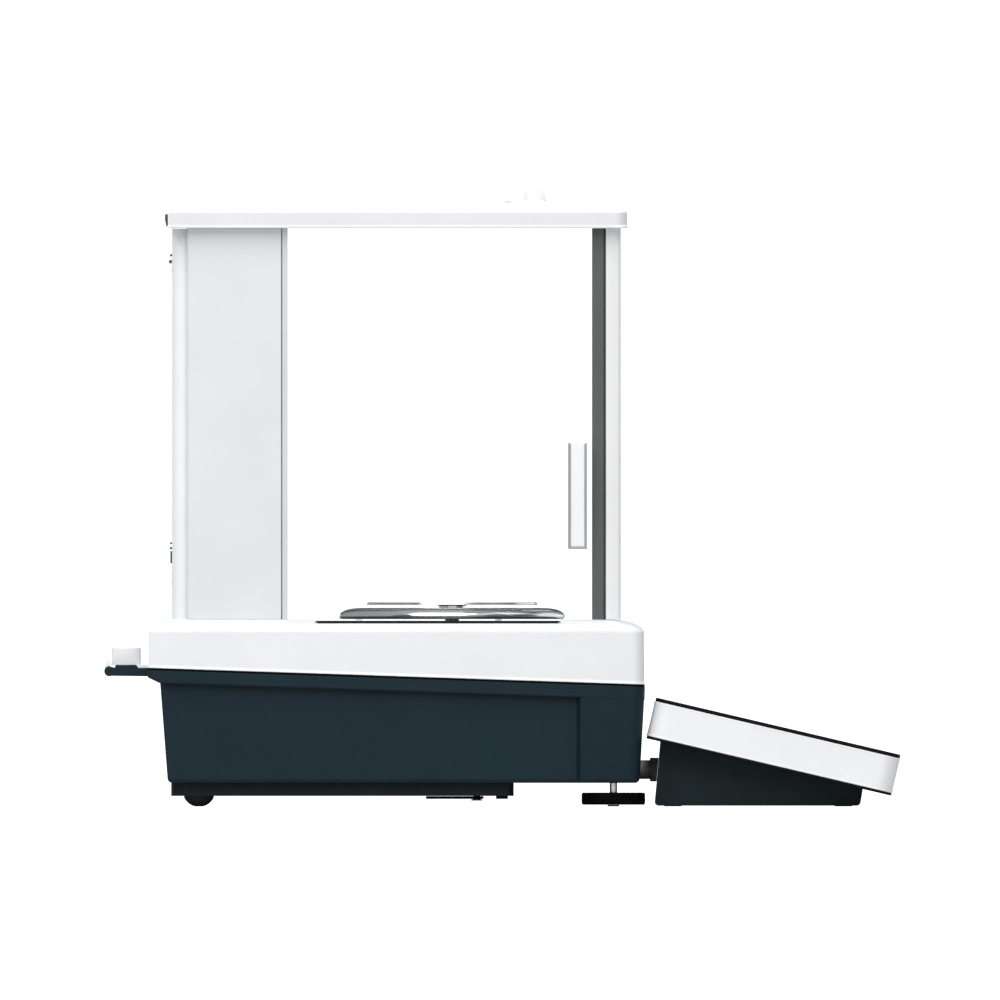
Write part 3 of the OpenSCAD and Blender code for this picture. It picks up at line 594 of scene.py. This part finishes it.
def shell_ring(drawn, z, flare=0.0):
    """A ring of the shell's outside, drawn in by a share of each shoulder's run."""
    return plan_ring(HALF_W - flare - drawn * SIDE_RUN, FRONT_Y + flare + drawn * FRONT_RUN,
                     REAR_Y - flare - drawn * REAR_RUN, CORNER_R + drawn * SIDE_RUN, z, 8,
                     1.2 + drawn * 6)


def base_shell():
    shoulder_z = DECK_Z - SHOULDER_H
    flare = 0.45
    rings = [plan_ring(HALF_W - WALL, FRONT_Y + WALL, REAR_Y - WALL, 4, DECK_Z - WALL - 2, 8, 1),
             plan_ring(HALF_W - WALL, FRONT_Y + WALL, REAR_Y - WALL, 4, seam_at(0.6), 8, 1)]
    rings.append(shell_ring(0, seam_at(0.62), 0.2))
    rings.append(shell_ring(0, seam_at(0.85), 0))
    rings.append(shell_ring(0, seam_at(2.2), flare * 0.9))
    rings.append(shell_ring(0, seam_at(2.5), flare))
    rings.append(shell_ring(0, seam_at(3.0), flare))
    for i in range(13):
        a = math.radians(90 * i / 12)
        rings.append(shell_ring(1 - math.cos(a), shoulder_z + SHOULDER_H * math.sin(a),
                                flare * (1 - i / 12)))
    floor_lo, floor_hi = box_of("chamber_floor")
    slant = floor_hi.z - floor_lo.z
    recess = prism([(floor_lo.y + slant - 0.1, floor_lo.z), (floor_hi.y - slant + 0.1, floor_lo.z),
                    (floor_hi.y + 0.1, floor_hi.z), (floor_hi.y + 0.1, DECK_Z + 2),
                    (floor_lo.y - 0.1, DECK_Z + 2), (floor_lo.y - 0.1, floor_hi.z)],
                   -HALF_W - 1, HALF_W + 1)
    grooves = [block(side * 84.2, side * 87.8, -53, REAR_Y + 1, DECK_Z - 0.7, DECK_Z + 1)
               for side in (-1, 1)]
    well = cylinder(0, 29, DECK_Z - 9, DECK_Z, 8)
    body = cut(stack(rings), [recess, well, *grooves])
    piece("shell_cover", body, "base", "white_shell", ["base_shell"])


def shelf_skin():
    """The shell's flange behind its rear wall."""
    top = SHELF_Z + 1.8
    skin = prism([(REAR_Y - 1, SHELF_Z + 0.02), (SHELF_STEP_Y - 0.15, SHELF_Z + 0.02),
                  (SHELF_STEP_Y + 1.15, top), (REAR_Y - 1, top)], -60, 60)
    piece("shelf_skin", bevel(skin, 0.3), "base", "white_shell", ["base_shell"])


def seam_line():
    """The gasket, nearly flush with both housings."""
    rings = []
    for inset, dz in [(4, 0.58), (4, -1.2), (0.3, -1.2), (0.2, -1.1), (0.2, 0.58)]:
        rings.append(plan_ring(HALF_W - inset, FRONT_Y + inset, REAR_Y - inset,
                               max(CORNER_R - inset, 2), seam_at(dz), 8, 1))
    piece("seam_line", stack(rings, close=True), "base", "seam_black", ["seam_gasket"])


def tray_ring(half_front, half_rear, y0, y1, r, z, n=8):
    """A ring of the tray: wide in front of the step in its side, narrower behind it."""
    height = flat(z)
    ramp = 2.4
    rear_r = 1.2
    right = [(half_front - r + r * math.cos(math.radians(a)), y0 + r + r * math.sin(math.radians(a)))
             for a in [-90 + 90 * i / n for i in range(n + 1)]]
    right += [(half_front, STEP_Y), (half_rear, STEP_Y + ramp)]
    last = y1 - rear_r
    start = min(190, last - 2)
    right += [(half_rear, start + (last - start) * i / 20) for i in range(20)]
    right += [(half_rear - rear_r + rear_r * math.cos(math.radians(a)),
               y1 - rear_r + rear_r * math.sin(math.radians(a)))
              for a in [90 * i / n for i in range(n + 1)]]
    outline = right + [(-x, y) for x, y in reversed(right)]
    return [Vector((x, y, height(y))) for x, y in outline]


def belt_low(dz):
    """The lower edge of the belt, which rises towards the shelf at its rear end."""
    def height(y):
        rise = 0 if y < 196.5 else 1.3 + (y - 196.5) * 0.2
        return seam_z(y) - 8 + dz + min(rise, 3.2)
    return height


def base_tray():
    edge = 2.6
    rings = [
        tray_ring(94, 94, FRONT_Y + 6, REAR_Y - 14, 4, TRAY_Z + WALL),
        tray_ring(94, 94, FRONT_Y + 6, REAR_Y - 14, 4, seam_at(-2)),
        tray_ring(HALF_W - 0.1, HALF_W - 0.1, FRONT_Y + 0.1, REAR_Y - 0.1, 6.9, seam_at(-0.8)),
        tray_ring(HALF_W, HALF_W, FRONT_Y, REAR_Y, 7, seam_at(-0.95)),
        tray_ring(HALF_W, HALF_W, FRONT_Y + 0.2, REAR_Y, 7, belt_low(0.7)),
        tray_ring(HALF_W - 0.1, HALF_W - 0.7, FRONT_Y + 0.3, REAR_Y - 0.7, 7, belt_low(0)),
        tray_ring(HALF_W - 0.3, HALF_W - 5, FRONT_Y + 0.5, REAR_Y - 7.1, 7, belt_low(-0.3)),
        tray_ring(HALF_W - 3.2, HALF_W - 5.4, FRONT_Y + 3, REAR_Y - 11.4, 7, TRAY_Z + edge),
    ]
    for i in range(1, 6):
        a = math.radians(90 * i / 5)
        inset = edge * (1 - math.cos(a))
        rings.append(tray_ring(HALF_W - 3.3 - inset, HALF_W - 5.5 - inset, FRONT_Y + 3.1 + inset,
                               REAR_Y - 11.5 - inset, 7, TRAY_Z + edge * (1 - math.sin(a))))
    panel_lo = box_of("connector_panel")[0]
    foot = box_of("left_foot_tip")
    foot_x, foot_y = -(foot[0].x + foot[1].x) / 2, (foot[0].y + foot[1].y) / 2
    plug = turned(cylinder(0, 0, 60, 100, 5.7), Matrix.Rotation(math.radians(90), 4, "X"))
    plug = turned(plug, Matrix.Translation((0, 0, 21.2)))
    recess = block(-62, 62, panel_lo.y - 0.5, REAR_Y + 1, 20, 60)
    holes = [cylinder(side * foot_x, foot_y, 0, 30, 5) for side in (-1, 1)]
    body = cut(stack(rings), [recess, plug, *holes, cylinder(0, 29, 0, 30, 10)])
    bosses = []
    for side in (-1, 1):
        r_in, r_out = 5.0, 9.0
        tube = [(r_in, TRAY_Z + WALL), (r_out, TRAY_Z + WALL), (r_out, 34), (r_in, 34)]
        bosses.append(lathe(tube, side * foot_x, foot_y, 48))
    piece("tray_casting", joined(body, *bosses), "base", "tray_dark", ["base_tray"])


def rear_shelf():
    """The shelf behind the base with its rolled end."""
    roll_r = 2.9
    roll_y = tray_hi.y - roll_r
    roll_z = SHELF_Z - roll_r + 1
    low = SHELF_Z - 4.8
    outline = [(REAR_Y - 8, low), (REAR_Y, low), (roll_y - 2.6, low + 0.25)]
    outline += arc(roll_y, roll_z, roll_r, roll_r, -118, 118, 18)
    platform = SHELF_Z + 1.8
    outline += [(roll_y - 3.3, SHELF_Z + 0.2), (roll_y - 3.5, platform),
                (SHELF_STEP_Y + 1.3, platform), (SHELF_STEP_Y, SHELF_Z), (REAR_Y - 8, SHELF_Z)]
    shelf = bevel(prism(outline, -60, 60), 0.3, 50)
    piece("rear_shelf", shelf, "base", "tray_dark", ["base_tray"])
    pin = [(0, -59.7), (1.2, -59.7), (1.2, 59.7), (0, 59.7)]
    rod = turned(lathe(pin, 0, 0, 24, False), Matrix.Rotation(math.radians(90), 4, "Y"))
    rod = turned(rod, Matrix.Translation((0, roll_y, roll_z)))
    piece("roll_pin", rod, "base", "pin_grey", ["base_tray"])


# ---- Roof and column ----

roof_lo, roof_hi = box_of("roof_frame")
GROOVE_IN = 84.2
GROOVE_OUT = 87.8


def roof_frame():
    rim_z = roof_lo.z + 9.4
    top = roof_hi.z
    run = 12.4
    flare = 0.3
    half = roof_hi.x

    def ring(inset, z, side=0.0):
        return plan_ring(half - inset - side, roof_lo.y + inset + side, roof_hi.y - inset - side,
                         max(7 - inset * 0.4, 2), z, 8, 1.0)

    rings = [ring(0.7, roof_lo.z), ring(0.2, roof_lo.z + 0.15), ring(0, roof_lo.z + 0.6),
             ring(0, roof_lo.z + 1.9, flare * 0.85), ring(0, roof_lo.z + 2.2, flare),
             ring(0, roof_lo.z + 2.8, flare)]
    soft = 0.4
    rings += [ring(0, rim_z - soft, flare), ring(soft * 0.3, rim_z + soft * 0.1, flare)]
    rise = top - rim_z
    for share in (0.06, 0.35, 0.65, 0.9, 0.97):
        rings.append(ring(run * share, rim_z + rise * min(1, share * 1.03 + 0.01)))
    rings.append(ring(run * 1.1, top))
    bar_lo, bar_hi = box_of("top_door_bar")
    pane_lo, pane_hi = box_of("top_door_glass")
    grip_lo, grip_hi = box_of("top_door_handle")
    hole = bar_hi.x + 0.4
    front = bar_lo.y
    cutters = [
        block(-hole, hole, front + 3, 122.5, roof_lo.z - 1, top + 1),
        block(pane_lo.x - 0.4, pane_hi.x + 0.4, front - 0.3, roof_hi.y + 1, pane_lo.z - 0.3,
              pane_hi.z + 0.3),
        block(-hole, hole, front - 0.3, roof_hi.y + 1, pane_lo.z, top + 1),
        block(-half - 1, half + 1, front - 0.3, roof_hi.y + 1, top - 0.7, top + 1),
        block(grip_lo.x - 0.5, grip_hi.x + 0.5, grip_lo.y - 0.5, front, pane_hi.z, top + 1),
        block(-75, 75, 131.5, 182, roof_lo.z - 1, rim_z - 2.5),
    ]
    door_top = box_of("left_door_glass")[1].z
    for side in (-1, 1):
        x0, x1 = sorted((side * GROOVE_IN, side * GROOVE_OUT))
        cutters.append(block(x0, x1, -53, roof_hi.y + 1, roof_lo.z - 1, door_top + 0.4))
    body = cut(stack(rings), cutters)
    cover = piece("roof_cover", body, "base", "roof_side_painted_shade", ["roof_frame"])
    # Faces that look up get the lighter copy of the roof's white, painted light; the rest keep the
    # darker copy, painted shade.
    cover.data.materials.append(material("roof_top_painted_light"))
    for polygon in cover.data.polygons:
        if polygon.normal.z > 0.2:
            polygon.material_index = 1


def front_posts():
    """Rounded aluminium corner posts with a slot for the front pane."""
    lo, hi = box_of("front_posts")
    x0, x1 = 82.0, hi.x
    y0, y1 = lo.y, hi.y
    glass_lo, glass_hi = box_of("front_glass")
    rings = []
    outline = [(x0, y1), (x0, glass_hi.y + 0.2), (84.2, glass_hi.y + 0.2),
               (84.2, glass_lo.y - 0.2), (x0, glass_lo.y - 0.2), (x0, y0 + 0.6), (x0 + 0.6, y0)]
    outline += arc(x1 - 3.4, y0 + 2.6, 2.6, 2.6, -90, -8, 8)
    outline += [(x1 - 0.25, y0 + 5), (x1, y0 + 6.5), (x1, y1 - 0.4), (x1 - 0.4, y1)]
    for z in (lo.z, hi.z):
        rings.append([Vector((x, y, z)) for x, y in outline])
    post = stack(rings)
    piece("posts", joined(mirrored(post), post), "base", "post_white", ["front_posts"])


def front_seals():
    """Dark strips with a groove beside the post."""
    lo, hi = box_of("front_seals")
    x0, x1 = 83.0, hi.x
    y0, y1 = lo.y, hi.y
    outline = [(x0, y0), (x1 - 2.4, y0), (x1 - 2.4, y0 + 1.3), (x1 - 0.2, y0 + 1.3),
               (x1, y0 + 1.5)]
    outline += arc(x1 - 0.6, y1 - 0.6, 0.6, 0.6, 0, 90, 4)
    outline += [(GROOVE_OUT, y1), (GROOVE_OUT, y1 - 2), (GROOVE_IN, y1 - 2), (GROOVE_IN, y1),
                (x0, y1)]
    strip = stack([[Vector((x, y, z)) for x, y in outline] for z in (lo.z, hi.z)])
    piece("seal_strips", joined(mirrored(strip), strip), "base", "seal_grey", ["front_seals"])


# ---- Doors ----


def pane(node, body):
    """A glass pane with ground edges."""
    obj = piece(node + "_pane", bevel(from_cad(node), 0.3, segments=2), body, "shield_glass",
                [node])
    obj.data.materials.append(material("glass_edge"))
    lo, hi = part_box(node)
    size = [hi[i] - lo[i] for i in range(3)]
    thin = size.index(min(size))
    for polygon in obj.data.polygons:
        if abs(polygon.normal[thin]) < 0.9:
            polygon.material_index = 1


def side_grip(node, body, side):
    """A white plate in a grey channel that is open at its top."""
    lo, hi = box_of(node)
    inner, outer = (hi.x, lo.x) if side < 0 else (lo.x, hi.x)
    rim = 1.3
    depth = 1.0 * side

    def upright(y0, y1, z0, z1, x0, x1):
        a, b = sorted((x0, x1))
        return bevel(block(a, b, y0, y1, z0, z1), 0.3)

    channel = [upright(lo.y, lo.y + rim, lo.z, hi.z, inner, outer),
               upright(hi.y - rim, hi.y, lo.z, hi.z, inner, outer),
               upright(lo.y + rim, hi.y - rim, lo.z, lo.z + rim, inner, outer)]
    piece(node + "_channel", joined(*channel), body, "handle_rim", [node])
    plate = bevel(block(*sorted((inner, outer - depth)), lo.y + rim, hi.y - rim, lo.z + rim,
                        hi.z - 0.2), 0.4)
    piece(node + "_plate", plate, body, "handle_white", [node])


def top_handle():
    """A frosted grip on the front of the top pane."""
    lo, hi = box_of("top_door_handle")
    roof_z = roof_hi.z
    foot = bevel(block(lo.x + 0.2, hi.x - 0.2, lo.y + 0.2, hi.y, lo.z, roof_z - 0.05), 0.4)
    mid = -18.4
    height = hi.z - roof_z
    rings = []
    steps = [(0, 8.2, 21), (0.06, 7.2, 20.6), (0.2, 6.4, 20.2), (0.6, 6.1, 19.8),
             (0.8, 5.7, 19.4), (0.93, 4.8, 18.5), (1.0, 3.2, 16.8)]
    for share, half_y, half_x in steps:
        rings.append(plan_ring(half_x, mid - half_y, mid + half_y, min(half_y * 0.8, 5),
                               roof_z + share * height, 8))
    grip = stack(rings)
    piece("top_grip", joined(foot, grip), "top_door", "handle_clear", ["top_door_handle"])


# ---- Pan and guard ----


def weighing_pan():
    lo, hi = box_of("pan")
    mid_y = (lo.y + hi.y) / 2
    r = hi.x
    top = hi.z
    profile = [(0, top - 0.25), (r - 3, top - 0.25), (r - 1.8, top - 0.15)]
    profile += arc(r - 0.75, top - 0.75, 0.75, 0.75, 120, -90, 10)
    profile += [(r - 2, top - 1.2), (9, top - 1.3), (8, top - 2), (8, lo.z + 0.5), (7.5, lo.z),
                (4.1, lo.z), (4.1, lo.z + 3.5), (0, lo.z + 3.9)]
    piece("pan_plate", lathe(profile, 0, mid_y, 128, False), "weighing_pan", "pan_steel", ["pan"])


def guard_ring():
    lo, hi = box_of("guard_ring")
    mid_y = (lo.y + hi.y) / 2
    r = hi.x
    sheet = 0.8
    run = 11.5
    low = lo.z + 1.2
    rise = hi.z - low
    outer = [(r - 1.6, low - 0.3), (r - 0.7, low), (r - 0.15, low + 0.8)]
    outer += arc(r - run, low + 1.4, run, rise - 1.4, 0, 90, 14)
    outer += [(40, hi.z - 0.15), (28, hi.z - 0.7), (16, hi.z - 1.1), (12.3, hi.z - 1.2)]
    inner = [(12.3, hi.z - 1.2 - sheet), (16, hi.z - 1.1 - sheet), (28, hi.z - 0.7 - sheet),
             (40, hi.z - 0.15 - sheet)]
    inner += arc(r - run, low + 1.4, run - sheet, rise - 1.4 - sheet, 90, 0, 14)
    inner += [(r - 1.6 - 0.2, low + 0.3)]
    dome = lathe(outer + inner, 0, mid_y, 160)
    feet = []
    for turn in (90, 210, 330):
        a = math.radians(turn)
        place = ((r - run) * math.cos(a), mid_y + (r - run) * math.sin(a))
        profile = [(0, lo.z), (1.7, lo.z), (2, lo.z + 0.3), (2, hi.z - 2), (0, hi.z - 2)]
        feet.append(lathe(profile, *place, 24, False))
    piece("guard_dome", dome, "guard", "pan_steel", ["guard_ring"])
    piece("guard_pads", joined(*feet), "guard", "pad_clear", ["guard_ring"])


# ---- Feet ----


def spindle(node, body):
    """A spindle with a real M5 thread above its plain neck."""
    lo, hi = box_of(node)
    x, y = (lo.x + hi.x) / 2, (lo.y + hi.y) / 2
    r = (hi.x - lo.x) / 2
    neck = r - 0.35
    pitch, depth = 0.8, 0.42
    around, per_turn = 24, 8
    start = 13.6
    rings = [[Vector((x + (neck - 0.2 * (z < 1)) * math.cos(2 * math.pi * i / around),
                      y + (neck - 0.2 * (z < 1)) * math.sin(2 * math.pi * i / around), z))
              for i in range(around)] for z in (lo.z, 1.2, 7.8, 10, 12, start - 0.2)]
    rows = int((hi.z - start) / pitch * per_turn)
    for k in range(rows + 1):
        z = start + (hi.z - start) * k / rows
        ring = []
        for i in range(around):
            phase = (z / pitch - i / around) % 1.0
            thread = depth * abs(2 * phase - 1)
            a = 2 * math.pi * i / around
            ring.append(Vector((x + (r - thread) * math.cos(a), y + (r - thread) * math.sin(a), z)))
        rings.append(ring)
    piece(node + "_thread", stack(rings), body, "spindle_steel", [node])


def thumbwheel(node, body):
    """A black wheel with shallow finger grooves and round edges."""
    lo, hi = box_of(node)
    x, y = (lo.x + hi.x) / 2, (lo.y + hi.y) / 2
    r = 18.3
    grooves, steps = 18, 12
    around = grooves * steps
    rings = []

    def ring(scale_in, z):
        points = []
        for i in range(around):
            a = 2 * math.pi * i / around
            wave = 0.5 * max(0, math.cos(grooves * a)) ** 2
            radius = r - scale_in - wave
            points.append(Vector((x + radius * math.cos(a), y + radius * math.sin(a), z)))
        return points

    rings.append(ring(4, lo.z))
    for i in range(5):
        a = math.radians(90 * i / 4)
        rings.append(ring(1.2 * (1 - math.sin(a)), lo.z + 1.2 * (1 - math.cos(a))))
    for i in range(5):
        a = math.radians(90 * i / 4)
        rings.append(ring(1.2 * (1 - math.cos(a)), hi.z - 1.2 + 1.2 * math.sin(a)))
    rings.append(ring(4, hi.z))
    for inset, drop in ((4.6, 0.5), (9.5, 0.5), (10.1, 0)):
        rings.append(ring(inset, hi.z - drop))
    piece(node + "_finish", stack(rings), body, "wheel_black", [node])


def rear_feet():
    lo, hi = box_of("rear_feet")
    mid_y = (lo.y + hi.y) / 2
    r = (hi.y - lo.y) / 2
    foot_x = hi.x - r
    ball, sink = 9.6, 0.25
    top = math.asin((hi.z - 1 - (ball - sink)) / ball)
    low = math.asin((sink - ball) / ball)
    profile = [(0, 0)]
    for i in range(17):
        a = low + (top - low) * i / 16
        profile.append((ball * math.cos(a), ball - sink + ball * math.sin(a)))
    profile += [(profile[-1][0], hi.z), (0, hi.z)]
    feet = [lathe(profile, side * foot_x, mid_y, 64, False) for side in (-1, 1)]
    piece("rear_domes", joined(*feet), "base", "foot_rubber", ["rear_feet"])


# ---- Terminal ----

TILT = math.radians(13.2)
TERMINAL_L = 145.4
TERMINAL_T = 24.2
TERMINAL_HALF = 98.0
GLASS_T = 2.2
BACK_T = 1.6
ON_TERMINAL = Matrix.Translation((0, -87.9, 62.8)) @ Matrix.Rotation(TILT, 4, "X")


def terminal_slab(steps, corner):
    """A body from (inset, height) steps around the terminal's outline."""
    rings = [plan_ring(TERMINAL_HALF - inset, inset - TERMINAL_L, -inset,
                       max(corner - inset, 1.5), z, 10) for inset, z in steps]
    return turned(stack(rings), ON_TERMINAL)


def round_steps(z0, z1, inset, r, n=4):
    """Steps up a wall with both of its edges rounded."""
    low = [(inset + r * (1 - math.sin(math.radians(90 * i / n))),
            z0 + r * (1 - math.cos(math.radians(90 * i / n)))) for i in range(n + 1)]
    high = [(inset + r * (1 - math.cos(math.radians(90 * i / n))),
             z1 - r + r * math.sin(math.radians(90 * i / n))) for i in range(n + 1)]
    return low + high


def terminal():
    glass = piece("touch_panel", terminal_slab(round_steps(-GLASS_T, 0, 0.5, 0.45), 10), "terminal",
                  "touch_black", ["touch_glass"])
    glass.data.materials.append(material("edge_black"))
    up = ON_TERMINAL.to_3x3() @ Vector((0, 0, 1))
    for polygon in glass.data.polygons:
        if polygon.normal.dot(up) < 0.9:
            polygon.material_index = 1
    flare = [(0.3, BACK_T - TERMINAL_T), (0, BACK_T - TERMINAL_T + 0.3),
             (0, BACK_T - TERMINAL_T + 0.9), (0.3, BACK_T - TERMINAL_T + 1.7),
             (0.3, -GLASS_T - 1.7), (0, -GLASS_T - 0.9), (0.1, -GLASS_T - 0.3), (0.5, -GLASS_T)]
    piece("terminal_band", terminal_slab(flare, 10.5), "terminal", "terminal_white",
          ["terminal_frame"])
    back = terminal_slab(round_steps(-TERMINAL_T, BACK_T - TERMINAL_T, 0.4, 0.5), 10)
    piece("terminal_underside", back, "terminal", "edge_black", ["terminal_back"])


def inlay(name, outline, lift, mat):
    """A thin printed shape on the touch panel."""
    rings = [[Vector((x, y, z)) for x, y in outline] for z in (0.0, lift)]
    piece(name, turned(stack(rings), ON_TERMINAL), "terminal", mat)


def ring_mark(x, y, r, width, a0=0, a1=360, n=28):
    outer = arc(x, y, r, r, a0, a1, n)
    inner = arc(x, y, r - width, r - width, a1, a0, n)
    return outer + inner


def touch_marks():
    """The unlit display and plain key marks, without lettering."""
    lift = 0.02
    rear, front = -16, 40 - TERMINAL_L
    display = [(p.x, p.y) for p in plan_ring(66, front, rear, 2, 0)]
    inlay("display_window", display, lift, "display_off")
    border = [(p.x, p.y) for p in plan_ring(66.6, front - 0.6, rear + 0.6, 2.4, 0)]
    rings = [[Vector((x, y, z)) for x, y in line]
             for z, line in ((0, display), (lift, display), (lift, border), (0, border))]
    piece("display_border", turned(stack(rings, close=True), ON_TERMINAL), "terminal", "pin_grey")
    keys = []
    row = 22 - TERMINAL_L
    for x in (-75, -45, -15, 15, 45, 75):
        r = 6.2
        ring = []
        for z, radius in ((0, r), (lift, r), (lift, r - 0.5), (0, r - 0.5)):
            ring.append([Vector((px, py, z)) for px, py in arc(x, row, radius, radius, 0, 352, 44)])
        keys.append(stack(ring, close=True))

    def wedge(points):
        keys.append(stack([[Vector((px, py, z)) for px, py in points] for z in (0, lift)]))

    def bar(x0, x1, y0, y1):
        wedge([(x0, y0), (x1, y0), (x1, y1), (x0, y1)])

    bar(-75.25, -74.75, row - 0.4, row + 3)
    wedge(ring_mark(-75, row, 2.4, 0.45, 125, 415))
    bar(-47.5, -42.5, row - 0.25, row + 0.25)
    wedge([(-17.6, row), (-13.8, row - 2.4), (-13.8, row + 2.4)])
    wedge([(17.6, row), (13.8, row + 2.4), (13.8, row - 2.4)])
    bar(42.4, 47.6, row - 0.25, row + 0.25)
    bar(44.75, 45.25, row + 0.25, row + 2.6)
    bar(44.75, 45.25, row - 2.6, row - 0.25)
    wedge([(75, row + 2.8), (72.2, row), (77.8, row)])
    bar(73.2, 76.8, row - 2.4, row - 0.1)
    piece("key_marks", turned(joined(*keys), ON_TERMINAL), "terminal", "key_print")


# ---- Level ----


def level():
    lo, hi = box_of("level_housing")
    y = (lo.y + hi.y) / 2
    r = hi.x
    depth = 6.2
    profile = [(0, lo.z), (r, lo.z), (r, hi.z - 0.9)]
    profile += arc(r - 0.7, hi.z - 0.7, 0.7, 0.7, 0, 90, 5)
    profile += [(r - 1.7, hi.z), (r - 1.7, hi.z - depth), (0, hi.z - depth)]
    piece("level_cup", lathe(profile, 0, y, 64, False), "base", "level_white", ["level_housing"])
    vial_lo, vial_hi = box_of("level_vial")
    top = vial_hi.z - 0.05
    r = vial_hi.x - 0.1
    body = [(0, vial_lo.z + 0.1), (r, vial_lo.z + 0.1), (r, top - 0.4), (r - 0.4, top - 0.1),
            (r * 0.6, top), (0, top + 0.03)]
    piece("level_liquid", lathe(body, 0, y, 64, False), "base", "vial_clear", ["level_vial"])
    air = [(0, top - 1.6), (1.6, top - 1.4), (2.3, top - 0.8), (2.1, top - 0.3), (0, top - 0.15)]
    piece("level_bubble", lathe(air, 0.5, y + 0.3, 40, False), "base", "bubble")
    mark = [(3.0, top + 0.02), (3.3, top + 0.02), (3.3, top + 0.06), (3.0, top + 0.06)]
    piece("level_circle", lathe(mark, 0, y, 64), "base", "seam_black")


# ---- The rest of the nodes ----

REFINED = [
    # The column's sides take a darker copy of the housing's white: painted shade.
    ("column_side_left", "base", "column_white", 0.5),
    ("column_side_right", "base", "column_white", 0.5),
    ("column_trims", "base", "trim_grey", 0.3),
    # The rear cover takes a lighter copy of the housing's white: painted light.
    ("rear_cover", "base", "cover_white", 0.4),
    ("chamber_floor", "base", "floor_black", 0.06),
    ("bottom_plate", "base", "cast_black", 0.6),
    ("connector_panel", "base", "panel_black", 0.3),
    ("power_inlet", "base", "panel_black", 0.3),
    ("data_ports", "base", "socket_metal", 0.25),
    ("shield_latches", "base", "latch_grey", 0.25),
    ("rear_cover_screws", "base", "screw_steel", 0.25),
    ("bottom_screws", "base", "screw_steel", 0.25),
    ("hook_cover", "hook_flap", "cast_black", 0.25),
    ("hook_cover_screw", "base", "screw_steel", 0.2),
    ("rear_lip", "base", "level_white", 0.3),
    ("top_door_bar", "top_door", "trim_grey", 0.2),
    ("terminal_stand", "terminal", "stand_dark", 0.8),
    # The connector's near-white colour is painted light for a part that sits in shade.
    ("connector", "terminal", "connector_grey", 0.4),
]


def other_nodes():
    for node, body, mat, width in REFINED:
        refined(node, body, mat, width)
    kept = {s["node"]: s["material_slot"] for s in frame["record"]["subparts"]}
    for node, obj in frame["nodes"].items():
        slots = obj.data.materials
        slots.clear()
        slots.append(material(kept[node]))


# ---- The whole balance ----

make_stage()
base_shell()
shelf_skin()
seam_line()
base_tray()
rear_shelf()
roof_frame()
front_posts()
front_seals()
for glass_node, glass_body in [("left_door_glass", "left_door"), ("right_door_glass", "right_door"),
                               ("top_door_glass", "top_door"), ("front_glass", "base")]:
    pane(glass_node, glass_body)
side_grip("left_door_handle", "left_door", -1)
side_grip("right_door_handle", "right_door", 1)
top_handle()
weighing_pan()
guard_ring()
spindle("left_spindle", "left_wheel")
spindle("right_spindle", "right_wheel")
thumbwheel("left_thumbwheel", "left_wheel")
thumbwheel("right_thumbwheel", "right_wheel")
rear_feet()
terminal()
touch_marks()
level()
other_nodes()
